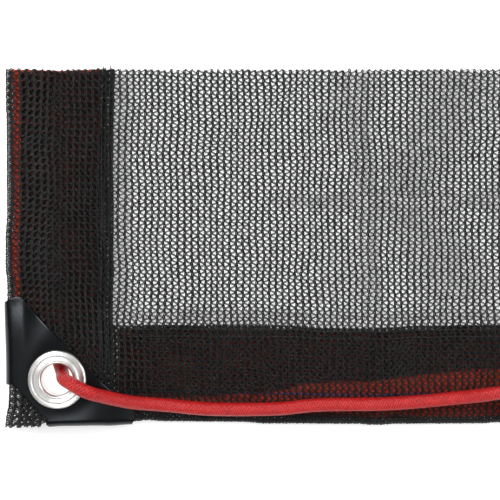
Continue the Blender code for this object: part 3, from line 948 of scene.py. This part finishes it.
def close_cut_ends(mesh):
    """Fills the open ends where yarn was cut, so that every thread is solid."""
    bm = bmesh.new()
    bm.from_mesh(mesh)
    lone = [f for f in bm.faces if all(len(e.link_faces) == 1 for e in f.edges)]
    bmesh.ops.delete(bm, geom=lone, context="FACES")
    bmesh.ops.delete(bm, geom=[v for v in bm.verts if not v.link_faces], context="VERTS")
    filled = 0
    for _ in range(3):
        ends = [v for v in bm.verts if v.is_boundary]
        waiting = set(ends)
        for start in ends:
            if start not in waiting:
                continue
            ring, here = [start], start
            waiting.discard(start)
            while True:
                after = [e.other_vert(here) for e in here.link_edges if e.is_boundary]
                after = [v for v in after if v in waiting]
                if not after:
                    break
                here = after[0]
                waiting.discard(here)
                ring.append(here)
            if len(ring) > 2 and bm.edges.get((ring[-1], ring[0])) and not bm.faces.get(ring):
                bm.faces.new(ring)
                filled += 1
        left = [f for f in bm.faces if any(e.is_boundary for e in f.edges)]
        bmesh.ops.delete(bm, geom=left, context="FACES")
    bmesh.ops.recalc_face_normals(bm, faces=bm.faces)
    bm.to_mesh(mesh)
    bm.free()
    mesh.shade_smooth()
    print("  closed", filled, "cut ends")


def grow(name, tree, **inputs):
    """Runs a tree once and keeps its result as a plain mesh piece."""
    mesh = bpy.data.meshes.new(name + "_seed")
    holder = bpy.data.objects.new(name + "_seed", mesh)
    bpy.context.collection.objects.link(holder)
    modifier = holder.modifiers.new("nodes", "NODES")
    modifier.node_group = tree
    wanted = {key.replace("_", " ").lower(): value for key, value in inputs.items()}
    for item in tree.interface.items_tree:
        if item.in_out == "INPUT" and item.name.lower() in wanted:
            modifier[item.identifier] = wanted.pop(item.name.lower())
    if wanted:
        raise ValueError(f"{name}: no input named {sorted(wanted)}")
    graph = bpy.context.evaluated_depsgraph_get()
    made = bpy.data.meshes.new_from_object(holder.evaluated_get(graph))
    made.name = name
    bpy.data.objects.remove(holder, do_unlink=True)
    close_cut_ends(made)
    piece = bpy.data.objects.new(name, made)
    bpy.context.collection.objects.link(piece)
    print(name, len(made.vertices), "points,", sum(len(p.vertices) - 2 for p in made.polygons), "triangles")
    return piece


knit = knitting_tree()

# %% [markdown]
# Black polyester yarn isn't a flat black. It is a bundle of fine fibres with a soft sheen. Fine noise
# goes into all three of its colour, roughness and bump. The greyer spots in its colour are partly
# painted sheen, standing for where the light grazes it, and partly wear from rubbing.

# %% Finish of the yarn
def make_yarn_finish():
    material, kit, shader = new_finish("net_yarn", Specular_IOR_Level=0.42)
    place = kit.get("ShaderNodeTexCoord", None, None, "Object")
    fibres = noise(kit, place, 5200.0, 2.0)
    rubbing_and_sheen = noise(kit, place, 160.0, 3.0)
    batch = noise(kit, place, 14.0, 1.0)
    # Painted sheen and wear: greyer spots at random places in the colour
    share = fibres * 0.55 + rubbing_and_sheen * 0.3 + batch * 0.15
    colour = ramp(
        kit,
        share,
        (0.25, (0.001, 0.001, 0.001)),
        (0.55, (0.004, 0.004, 0.0038)),
        (0.80, (0.018, 0.018, 0.0175)),
    )
    kit.feed(shader, "Base Color", colour)
    kit.feed(shader, "Roughness", 0.20 + rubbing_and_sheen * 0.26)
    bump(kit, shader, fibres, 0.00008, 0.7)
    return material


net_yarn = make_yarn_finish()

# %% [markdown]
# The front layer is knitted in four widths, so that no piece grows too heavy. Each starts on a
# whole number of wales, and so the widths meet without a seam. The layers folded back are the same
# cloth, in a cell with fewer points and a flatter, thicker yarn, because they're only seen through
# the front, where they make the hems dense and dark.

# %% Knit the cloth
FRONT_COURSES = 58
BACK_FLATNESS = 0.5
widths = []
FRONT_WIDTHS = (("net_first", 1, 21), ("net_second", 22, 21), ("net_third", 43, 20), ("net_fourth", 63, 20))
for name, first, count in FRONT_WIDTHS:
    widths.append(
        grow(
            name,
            knit,
            cloth=cloth_guide,
            stitch=stitch_cell,
            wales=count,
            courses=FRONT_COURSES,
            first_wale=first,
            first_course=0,
            finish=net_yarn,
        )
    )
left_under = grow(
    "net_left_hem",
    knit,
    cloth=cloth_guide,
    stitch=plain_cell,
    wales=33,
    courses=FRONT_COURSES,
    first_wale=-32,
    first_course=-2,
    shift=-0.5 * MM,
    flatness=BACK_FLATNESS,
    thickness=1.2,
    finish=net_yarn,
)
bottom_under = grow(
    "net_bottom_hem",
    knit,
    cloth=cloth_guide,
    stitch=plain_cell,
    wales=68,
    courses=33,
    first_wale=15,
    first_course=-30,
    shift=WALE / 2,
    flatness=BACK_FLATNESS,
    thickness=1.04,
    finish=net_yarn,
)

bpy.data.objects.remove(cloth_guide, do_unlink=True)
for spare in (stitch_cell, plain_cell):
    bpy.data.objects.remove(spare, do_unlink=True)
FRONT_LENGTH = 0.157
for piece, (_, _, count) in zip(widths, FRONT_WIDTHS):
    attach(piece, "root")
for piece, flat in ((left_under, (0.0934, FRONT_LENGTH)), (bottom_under, (0.193, 0.074))):
    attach(piece, "root")
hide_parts("netting")

# %% [markdown]
# The tape in the hems is a plain red woven band. Its picks run across it as fine ribs, and the bottom
# one has a thin blue marker thread along it. Seen through the net it is a warm glow between stitches.

# %% Finish of the tape
def make_tape_finish():
    material, kit, shader = new_finish("tape_weave", Specular_IOR_Level=0.3)
    along, across, _ = kit.parts(kit.get("ShaderNodeUVMap", {"uv_map": "weave"}))
    ribs = (along * (2 * math.pi / 0.62)).sin()
    ends = (across * (2 * math.pi / 0.45) + (along * (math.pi / 0.62)).sin() * 0.8).sin()
    place = kit.get("ShaderNodeTexCoord", None, None, "Object")
    uneven = noise(kit, place, 900.0, 2.0)
    faded = noise(kit, place, 30.0, 2.0)
    # Painted shade: the ribs and the ends darken the colour in the weave's grooves, and the noises are
    # uneven tone and fading
    share = ribs * 0.2 + ends * 0.15 + uneven * 0.4 + faded * 0.25 + 0.1
    colour = ramp(
        kit,
        share,
        (0.10, (0.34, 0.012, 0.006)),
        (0.50, (0.72, 0.048, 0.016)),
        (0.90, (0.90, 0.130, 0.045)),
    )
    marker = ((across - 13.2).size() < 0.35) * 0.85
    colour = mix_colour(kit, marker, colour, (0.02, 0.09, 0.42, 1.0))
    kit.feed(shader, "Base Color", colour)
    kit.feed(shader, "Roughness", 0.62 + uneven * 0.2)
    bump(kit, shader, ribs * 0.5 + ends * 0.3 + uneven * 0.2, 0.00012, 0.8)
    return material


tape_weave = make_tape_finish()


# %% The tapes
TAPE_HOLE_R = 8.6 * MM
# The open corner shows no tape, so the left one starts where the patch hides its end
LEFT_TAPE_START = 22.0 * MM
# A shift across the weave, in millimetres, that keeps the marker thread off the left tape
NO_MARKER = 100


def lay_tape(name, starts, ends, lengthwise, node):
    """A band between two corners of the flat stack, with its own thickness."""
    columns = fine_steps(starts[0], ends[0], 1.9 * MM)
    rows = fine_steps(starts[1], ends[1], 1.9 * MM)
    verts, faces, marks = [], [], []
    for side in (0.5, -0.5):
        for a in columns:
            for b in rows:
                verts.append(settle(LEFT_FOLD + a, BOTTOM_FOLD + b, TAPE_Z + side * TAPE))
                marks.append((b / MM, a / MM + NO_MARKER) if lengthwise else (a / MM, b / MM))
    many, deep = len(rows), len(columns)
    for c in range(deep - 1):
        for r in range(many - 1):
            corner = c * many + r
            faces.append((corner, corner + many, corner + many + 1, corner + 1))
            low = corner + deep * many
            faces.append((low, low + 1, low + many + 1, low + many))
    rim = [c * many for c in range(deep)] + [(deep - 1) * many + r for r in range(1, many)]
    rim += [c * many + many - 1 for c in range(deep - 2, -1, -1)] + list(range(many - 2, 0, -1))
    for k, here in enumerate(rim):
        after = rim[(k + 1) % len(rim)]
        faces.append((here, here + deep * many, after + deep * many, after))
    piece = mesh_piece(name, verts, faces, tape_weave)
    layer = piece.data.uv_layers.new(name="weave")
    for loop in piece.data.loops:
        layer.data[loop.index].uv = marks[loop.vertex_index]
    cut = bmesh.new()
    cut.from_mesh(piece.data)
    middles = [(f, f.calc_center_median()) for f in cut.faces]
    gone = [f for f, at in middles if math.hypot(at.x - EYELET_X, at.y - EYELET_Y) < TAPE_HOLE_R]
    bmesh.ops.delete(cut, geom=gone, context="FACES")
    rims = [e for e in cut.edges if len(e.link_faces) == 1]
    if rims:
        bmesh.ops.bridge_loops(cut, edges=rims)
    bmesh.ops.recalc_face_normals(cut, faces=cut.faces)
    cut.to_mesh(piece.data)
    cut.free()
    piece.data.shade_smooth()
    piece.data.set_sharp_from_angle(angle=math.radians(40))
    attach(piece, "root")
    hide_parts(node)
    return piece


tape_end = TAPE_INSET + TAPE_WIDTH
top_end = TOP_CUT - BOTTOM_FOLD - 0.5 * MM
right_end = RIGHT_CUT - LEFT_FOLD - 0.5 * MM
left_tape = lay_tape(
    "tape_left", (TAPE_INSET, LEFT_TAPE_START), (tape_end, top_end), True, "hem_tape_left"
)
bottom_tape = lay_tape(
    "tape_bottom", (LEFT_HEM + 1.5 * MM, TAPE_INSET), (right_end, tape_end), False, "hem_tape_bottom"
)

# %% [markdown]
# The patch is soft satin plastic, stamped from sheet and folded round both edges. A band of rings
# runs round the folds, the outline and the eyelet's hole are stamped out of it, and a small bevel
# catches the light along its edges. Its finish has a fine grain and a faint cloudy sheen.

# %% Finish of the patch
def make_patch_finish():
    material, kit, shader = new_finish(
        "patch_satin", Specular_IOR_Level=0.27, Specular_Tint=(0.86, 0.93, 1.0, 1.0)
    )
    place = kit.get("ShaderNodeTexCoord", None, None, "Object")
    grain = noise(kit, place, 2600.0, 3.0, 0.6)
    cloudy = noise(kit, place, 55.0, 3.0)
    waves = noise(kit, place, 26.0, 1.0)
    colour = ramp(
        kit,
        cloudy * 0.6 + grain * 0.4,
        (0.25, (0.0010, 0.0010, 0.0012)),
        (0.60, (0.0020, 0.0021, 0.0026)),
        (0.90, (0.0060, 0.0065, 0.0080)),
    )
    kit.feed(shader, "Base Color", colour)
    kit.feed(shader, "Roughness", 0.14 + cloudy * 0.18 + grain * 0.06)
    bump(kit, shader, grain * 0.03 + waves + cloudy * 0.12, 0.0012, 0.6)
    return material


patch_satin = make_patch_finish()


# %% The patch
PATCH = 1.0 * MM
PATCH_GAP = 0.4 * MM
PATCH_FRONT_Z = HEM_TOP + PATCH_GAP + PATCH / 2
PATCH_BACK_Z = -PATCH_GAP - PATCH / 2
PATCH_FOLD_R = (PATCH_FRONT_Z - PATCH_BACK_Z) / 2
PATCH_HOLE_R = 8.0 * MM


def rounded(corners, steps=8):
    """An outline with its corners rounded: rows are (x, y, radius)."""
    points = []
    for k, (a, b, radius) in enumerate(corners):
        here = Vector((a, b))
        if radius == 0:
            points.append(here)
            continue
        before = Vector(corners[k - 1][:2]) - here
        after = Vector(corners[(k + 1) % len(corners)][:2]) - here
        cut = min(radius, before.length * 0.4, after.length * 0.4)
        start, end = here + before.normalized() * cut, here + after.normalized() * cut
        for t in np.linspace(0, 1, steps):
            points.append(start * (1 - t) ** 2 + here * 2 * t * (1 - t) + end * t**2)
    return points


def patch_outline():
    far, near, out = PATCH_FAR, PATCH_NEAR, 8 * MM
    return rounded([
        (-out, near + out, 0.0),
        (near + out, -out, 0.0),
        (PATCH_REACH_RIGHT - 6 * MM, -out, 0.0),
        (PATCH_REACH_RIGHT, 3.0 * MM, 4.0 * MM),
        (PATCH_REACH_RIGHT, far - PATCH_REACH_RIGHT, 3.0 * MM),
        (far - PATCH_REACH_UP, PATCH_REACH_UP, 1.5 * MM),
        (4.5 * MM, PATCH_REACH_UP, 1.5 * MM),
        (-out, PATCH_REACH_UP - 6 * MM, 0.0),
    ])


def patch_ring(c, run_steps, fold_steps):
    """One turn of the folded band at the distance c: over the front, round both folds, and behind."""
    centre = (FOLD_D, BACK_Z + FOLD_R)
    run = c - 2 * FOLD_D
    there = range(run_steps + 1)
    ring = [(FOLD_D + run * k / run_steps, c - FOLD_D - run * k / run_steps, PATCH_FRONT_Z) for k in there]
    ring += [(c - FOLD_D, d, z) for d, z in arc(centre, PATCH_FOLD_R, 90, 270, fold_steps)[1:-1]]
    back = range(run_steps, -1, -1)
    ring += [(FOLD_D + run * k / run_steps, c - FOLD_D - run * k / run_steps, PATCH_BACK_Z) for k in back]
    ring += [(d, c - FOLD_D, z) for d, z in arc(centre, PATCH_FOLD_R, 270, 90, fold_steps)[1:-1]]
    return ring


def prism(name, outline, low, high):
    bm = bmesh.new()
    base = [bm.verts.new((p[0], p[1], low)) for p in outline]
    body = bmesh.ops.extrude_face_region(bm, geom=[bm.faces.new(base)])
    top = [v for v in body["geom"] if isinstance(v, bmesh.types.BMVert)]
    bmesh.ops.translate(bm, verts=top, vec=(0, 0, high - low))
    bmesh.ops.recalc_face_normals(bm, faces=bm.faces)
    mesh = bpy.data.meshes.new(name)
    bm.to_mesh(mesh)
    bm.free()
    made = bpy.data.objects.new(name, mesh)
    bpy.context.collection.objects.link(made)
    made.hide_render = True
    return made


def make_patch():
    verts, faces = [], []
    spread = list(np.linspace(PATCH_NEAR, PATCH_FAR, 34))
    for c in spread:
        verts += [settle(LEFT_FOLD + a, BOTTOM_FOLD + b, z) for a, b, z in patch_ring(c, 56, 14)]
    count = len(verts) // len(spread)
    for c in range(len(spread) - 1):
        for k in range(count):
            n = (k + 1) % count
            faces.append((c * count + k, c * count + n, (c + 1) * count + n, (c + 1) * count + k))
    shell = mesh_piece("patch_shell", verts, faces, patch_satin)
    bm = bmesh.new()
    bm.from_mesh(shell.data)
    bmesh.ops.recalc_face_normals(bm, faces=bm.faces)
    bm.to_mesh(shell.data)
    bm.free()
    wall = shell.modifiers.new("wall", "SOLIDIFY")
    wall.thickness, wall.offset, wall.use_even_offset = PATCH, 0.0, True
    outline = [(LEFT_FOLD + p.x, BOTTOM_FOLD + p.y) for p in patch_outline()]
    keeper = prism("patch_keeper", outline, -20 * MM, 40 * MM)
    turn = np.linspace(0, 2 * math.pi, 65)[:-1]
    circle = [
        (EYELET_X + PATCH_HOLE_R * math.cos(t), EYELET_Y + PATCH_HOLE_R * math.sin(t)) for t in turn
    ]
    punch = prism("patch_punch", circle, -20 * MM, 40 * MM)
    for cutter, operation in ((keeper, "INTERSECT"), (punch, "DIFFERENCE")):
        cut = shell.modifiers.new(operation.lower(), "BOOLEAN")
        cut.operation, cut.solver, cut.object = operation, "EXACT", cutter
    edge = shell.modifiers.new("soft edge", "BEVEL")
    edge.width, edge.segments, edge.limit_method, edge.angle_limit = 0.28 * MM, 2, "ANGLE", math.radians(50)
    edge.use_clamp_overlap = True
    graph = bpy.context.evaluated_depsgraph_get()
    mesh = bpy.data.meshes.new_from_object(shell.evaluated_get(graph))
    for spare in (shell, keeper, punch):
        bpy.data.objects.remove(spare, do_unlink=True)
    mesh.materials.clear()
    mesh.materials.append(patch_satin)
    mesh.shade_smooth()
    mesh.set_sharp_from_angle(angle=math.radians(38))
    patch = bpy.data.objects.new("patch_folded", mesh)
    bpy.context.collection.objects.link(patch)
    return patch


patch = make_patch()
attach(patch, "root")
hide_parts("corner_patch")
print("patch faces", len(patch.data.polygons))

# %% [markdown]
# The eyelet is turned from thin plated metal: a rolled inner lip, a bright flat ring and a low outer
# lip, on a barrel that goes down through the stack to a collar behind. A lathe shape is a profile
# spun round, so a fine profile is all that it needs.

# %% Finish of the eyelet
def make_metal_finish():
    material, kit, shader = new_finish("eyelet_plated", Metallic=1.0)
    place = kit.get("ShaderNodeTexCoord", None, None, "Object")
    centred = kit.get("ShaderNodeMapping", None, {"Vector": place, "Location": (-EYELET_X, -EYELET_Y, 0.0)})
    x, y, z = kit.parts(centred)
    radius = (x * x + y * y) ** 0.5
    rings = noise(kit, kit.join(radius, z), 5200.0, 2.0)
    stain = noise(kit, place, 260.0, 3.0)
    fine = noise(kit, place, 2400.0, 2.0)
    colour = ramp(
        kit,
        stain * 0.7 + fine * 0.3,
        (0.25, (0.62, 0.60, 0.585)),
        (0.55, (0.83, 0.82, 0.80)),
        (0.80, (0.93, 0.925, 0.91)),
    )
    kit.feed(shader, "Base Color", colour)
    kit.feed(shader, "Roughness", 0.20 + rings * 0.14 + stain * 0.08)
    bump(kit, shader, rings * 0.5 + fine * 0.3, 0.00004, 0.6)
    return material


eyelet_plated = make_metal_finish()


# %% The eyelet
def spline_profile(points, count):
    """A smooth profile through its main points, as (radius, height)."""
    fine = smooth_curve([(r / MM, 0.0, z / MM) for r, z in points], count)
    return [(p[0], p[2]) for p in fine]


def turn_profile(name, profile, centre, segments, finish):
    verts, faces = [], []
    count = len(profile)
    for s in range(segments):
        angle = 2 * math.pi * s / segments
        for r, z in profile:
            verts.append((centre[0] + r * math.cos(angle), centre[1] + r * math.sin(angle), z))
    for s in range(segments):
        t = (s + 1) % segments
        for k in range(count):
            n = (k + 1) % count
            faces.append((s * count + k, t * count + k, t * count + n, s * count + n))
    piece = mesh_piece(name, verts, faces, finish)
    bm = bmesh.new()
    bm.from_mesh(piece.data)
    bmesh.ops.recalc_face_normals(bm, faces=bm.faces)
    bm.to_mesh(piece.data)
    bm.free()
    piece.data.shade_smooth()
    piece.data.set_sharp_from_angle(angle=math.radians(50))
    return piece


EYELET_BASE = EYELET_LIFT + HEM_TOP + 1.4 * MM + GAP
EYELET_LOW = EYELET_LIFT - 0.4 * MM - 1.0 * MM - GAP - 0.6 * MM
EYELET_HOLE_R = 6.95 * MM
EYELET_BARREL_R = 7.6 * MM
EYELET_COLLAR_R = 11.6 * MM
EYELET_COLLAR = 0.6 * MM
# The face's turned profile in millimetres: radius, height above the patch
rolled = [
    (6.95, -0.4), (7.0, 0.25), (7.3, 0.75), (7.9, 1.07), (8.5, 1.08), (9.0, 0.96), (9.5, 0.8),
    (10.3, 0.66), (11.0, 0.74), (11.6, 0.95), (12.1, 0.9), (12.6, 0.55), (12.8, 0.12),
]
front = spline_profile([(r * MM, EYELET_BASE + z * MM) for r, z in rolled], 44)
profile = [
    (EYELET_HOLE_R, EYELET_LOW),
    *front,
    (12.7 * MM, EYELET_BASE),
    (EYELET_BARREL_R, EYELET_BASE),
    (EYELET_BARREL_R, EYELET_LOW + EYELET_COLLAR),
    (EYELET_COLLAR_R, EYELET_LOW + EYELET_COLLAR),
    (EYELET_COLLAR_R, EYELET_LOW + 0.1 * MM),
    (EYELET_COLLAR_R - 0.1 * MM, EYELET_LOW),
]
eyelet = turn_profile("eyelet_turned", profile, (EYELET_X, EYELET_Y), 120, eyelet_plated)
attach(eyelet, "root")
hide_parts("eyelet")
print("eyelet faces", len(eyelet.data.polygons))

# %% [markdown]
# Each hem is held by rows of chain stitch along its inner edge. A stitch is one short thread that
# rises out of the cloth and goes back in. One tree sets it along a line, at even spacing, turned
# with the line, and bakes the result.

# %% The tree that sews
def sewing_tree():
    tree, kit, given, goal = new_tree(
        "sew a seam",
        ("Seam", "Object", None),
        ("Stitch length", "Float", 2.6 * MM),
        ("Thread radius", "Float", 0.24 * MM),
        ("Rise", "Float", 0.34 * MM),
        ("Finish", "Material", None),
    )
    path = kit.get("GeometryNodeObjectInfo", None, {"Object": given("Seam")}, "Geometry")
    even = kit.get(
        "GeometryNodeResampleCurve", {"mode": "LENGTH"}, {"Curve": path, "Length": given("Stitch length")}
    )
    long = given("Stitch length") * 0.46
    arch = kit.get(
        "GeometryNodeCurveQuadraticBezier",
        None,
        {
            "Resolution": 4,
            "Start": kit.join(0.0, 0.0, 0.0 - given("Rise")),
            "Middle": kit.join(0.0, 0.0, given("Rise")),
            "End": kit.join(0.0, 0.0, 0.0 - given("Rise")),
        },
    )
    bend = kit.get("GeometryNodeInputPosition")
    along = kit.get("GeometryNodeSplineParameter", None, None, "Factor") * 2.0 - 1.0
    _, _, high = kit.parts(bend)
    arch = kit.get(
        "GeometryNodeSetPosition", None, {"Geometry": arch, "Position": kit.join(along * long, 0.0, high)}
    )
    round_thread = kit.get(
        "GeometryNodeCurvePrimitiveCircle", None, {"Resolution": 5, "Radius": given("Thread radius")}
    )
    thread = kit.get(
        "GeometryNodeCurveToMesh", None, {"Curve": arch, "Profile Curve": round_thread, "Fill Caps": True}
    )
    turn = kit.get(
        "FunctionNodeAlignRotationToVector", {"axis": "X"}, {"Vector": kit.get("GeometryNodeInputTangent")}
    )
    seam = kit.get(
        "GeometryNodeInstanceOnPoints", None, {"Points": even, "Instance": thread, "Rotation": turn}
    )
    seam = kit.get("GeometryNodeRealizeInstances", None, {"Geometry": seam})
    seam = kit.get("GeometryNodeSetShadeSmooth", None, {"Geometry": seam})
    seam = kit.get("GeometryNodeSetMaterial", None, {"Geometry": seam, "Material": given("Finish")})
    kit.feed(goal, "Geometry", seam)
    return tree


sew = sewing_tree()

# %% The seams
def seam_line(start, end, steps=90):
    """A line on top of the front layer between two places given from the folds."""
    line = []
    for t in np.linspace(0, 1, steps):
        x = LEFT_FOLD + start[0] * (1 - t) + end[0] * t
        y = BOTTOM_FOLD + start[1] * (1 - t) + end[1] * t
        line.append(settle(x, y, front_height(x, y) + 0.5 * MM) / MM)
    return line


seam_rows = []
for inset in (2.2 * MM, 5.4 * MM):
    seam_rows.append(seam_line((LEFT_HEM - inset, 25 * MM), (LEFT_HEM - inset, top_end)))
    seam_rows.append(seam_line((LEFT_HEM - inset, BOTTOM_HEM - inset), (right_end, BOTTOM_HEM - inset), 110))
seam_path = thread_object("seam_path", [(row, 1.0) for row in seam_rows])
seams = grow("hem_seams", sew, seam=seam_path, finish=net_yarn)
bpy.data.objects.remove(seam_path, do_unlink=True)
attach(seams, "root")

# %% [markdown]
# Where the cloth was cut, a few fibres stand out of the corner. They are short bent hairs from a
# small table of places and directions.

# %% Loose fibres
# Where each hair starts, from the left and the bottom fold, and which way it goes, in millimetres
FIBRES = (
    (0.6, 14.0, -1.9, 2.6), (0.8, 11.0, -2.4, -0.4), (1.0, 9.5, -1.6, -1.9), (0.7, 6.0, -1.8, 1.2),
    (2.0, 0.9, -1.5, -1.6), (4.5, 0.8, -0.6, -1.9), (9.0, 0.9, 0.9, -1.4), (13.0, 1.2, 1.2, -1.2),
    (0.9, 3.0, -2.2, 0.8), (6.5, 0.8, -1.4, -1.3),
)


def hair_line(a, b, dx, dy):
    """One bent hair, in millimetres."""
    root = settle(LEFT_FOLD + a * MM, BOTTOM_FOLD + b * MM, FRONT_Z * 0.8) / MM
    line = []
    for t in np.linspace(0, 1, 6):
        bend = Vector((dx * t + 0.35 * dy * t * t, dy * t - 0.3 * dx * t * t, -0.5 * t))
        line.append(tuple(root + bend))
    return line


def fibre_mesh(name, lines, radius):
    verts, faces = [], []
    for line in lines:
        points = np.array([tuple(p) for p in line]) * MM
        start = len(verts)
        for k, p in enumerate(points):
            thin = radius * (1 - 0.6 * k / (len(points) - 1))
            for q in (0.0, 2.1, 4.2):
                verts.append(p + thin * np.array((math.cos(q), math.sin(q), math.sin(q + 1))))
        for k in range(len(points) - 1):
            low = start + 3 * k
            for q in range(3):
                r = (q + 1) % 3
                faces.append((low + q, low + r, low + 3 + r, low + 3 + q))
        faces.append((start + 2, start + 1, start))
        last = start + 3 * (len(points) - 1)
        faces.append((last, last + 1, last + 2))
    piece = mesh_piece(name, verts, faces, net_yarn)
    bm = bmesh.new()
    bm.from_mesh(piece.data)
    bmesh.ops.recalc_face_normals(bm, faces=bm.faces)
    bm.to_mesh(piece.data)
    bm.free()
    return piece


fibres = fibre_mesh("loose_fibres", [hair_line(*row) for row in FIBRES], 0.09 * MM)
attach(fibres, "root")
print("fibres", len(FIBRES))

# %% [markdown]
# The photograph's background is plain white, so the floor is a large pale sheet with only a breath
# of texture. It gives a little light of its own, as a light table does. Right under the eyelet it
# glows more, as a painted pool of light, where the shadow of the lifted corner would leave the hole grey.

# %% Floor
def make_floor_finish():
    material, kit, shader = new_finish("floor_paper")
    place = kit.get("ShaderNodeTexCoord", None, None, "Object")
    soft = noise(kit, place, 9.0, 2.0)
    colour = ramp(kit, soft, (0.3, (0.90, 0.90, 0.90)), (0.7, (0.93, 0.93, 0.93)))
    kit.feed(shader, "Base Color", colour)
    kit.feed(shader, "Roughness", 0.8 + soft * 0.1)
    below_eyelet = (EYELET_X, EYELET_Y, -0.00003)
    away = kit.get(
        "ShaderNodeVectorMath", {"operation": "DISTANCE"}, {0: place, 1: below_eyelet}, "Value"
    )
    # Painted light: a brighter glow under the eyelet fills the lifted corner's shadow
    glow = ramp(kit, away / 0.03, (0.25, (0.95, 0.95, 0.95)), (0.50, (0.30, 0.30, 0.30)))
    kit.feed(shader, "Emission Color", glow)
    shader.inputs["Emission Strength"].default_value = 1.0
    return material


FLOOR_HALF = 2.5
floor_z = solid_box[0][2] - 0.02 * MM
corners = [(x * FLOOR_HALF, y * FLOOR_HALF, floor_z) for x, y in ((-1, -1), (1, -1), (1, 1), (-1, 1))]
floor = mesh_piece("floor", corners, [(0, 1, 2, 3)], make_floor_finish())

# %% [markdown]
# Three square lamps give the soft highlights. The sky is dark at its rim and at its very top, with
# a bright ring between, so that flat glossy faces stay black and round ones catch a line of light.

# %% Light
def add_panel(name, place, size, power, colour=(1.0, 1.0, 1.0)):
    """A square area light that looks at the middle of the part."""
    data = bpy.data.lights.new(name, "AREA")
    data.shape = "SQUARE"
    data.size = size
    data.energy = power
    data.color = colour
    lamp = bpy.data.objects.new(name, data)
    lamp.location = place
    lamp.rotation_mode = "QUATERNION"
    lamp.rotation_quaternion = (Vector(place)).to_track_quat("Z", "Y")
    bpy.context.collection.objects.link(lamp)
    return lamp


add_panel("key", (-0.55, 0.75, 1.1), 0.55, 15.0)
add_panel("fill_right", (0.95, 0.15, 1.05), 0.6, 7.5)
add_panel("fill_front", (-0.1, -0.95, 1.05), 0.6, 4.0)
world = bpy.data.worlds.new("studio")
bpy.context.scene.world = world
world.use_nodes = True
sky = Kit(world.node_tree)
backdrop = world.node_tree.nodes["Background"]
_, _, upward = sky.parts(sky.get("ShaderNodeTexCoord", None, None, "Generated"))
shade = ramp(
    sky,
    upward.size(),
    (0.00, (0.06, 0.06, 0.06)),
    (0.50, (0.24, 0.24, 0.24)),
    (0.76, (1.0, 1.0, 1.0)),
    (0.91, (1.0, 1.0, 1.0)),
    (0.97, (0.30, 0.30, 0.31)),
)
sky.feed(backdrop, "Color", shade)
backdrop.inputs["Strength"].default_value = 0.8

# %% [markdown]
# The solids' box is printed, in millimetres. The dressed part may not be bigger than its solids.

# %% Measure
print("solids", [[round(v * 1000, 1) for v in c] for c in solid_box])
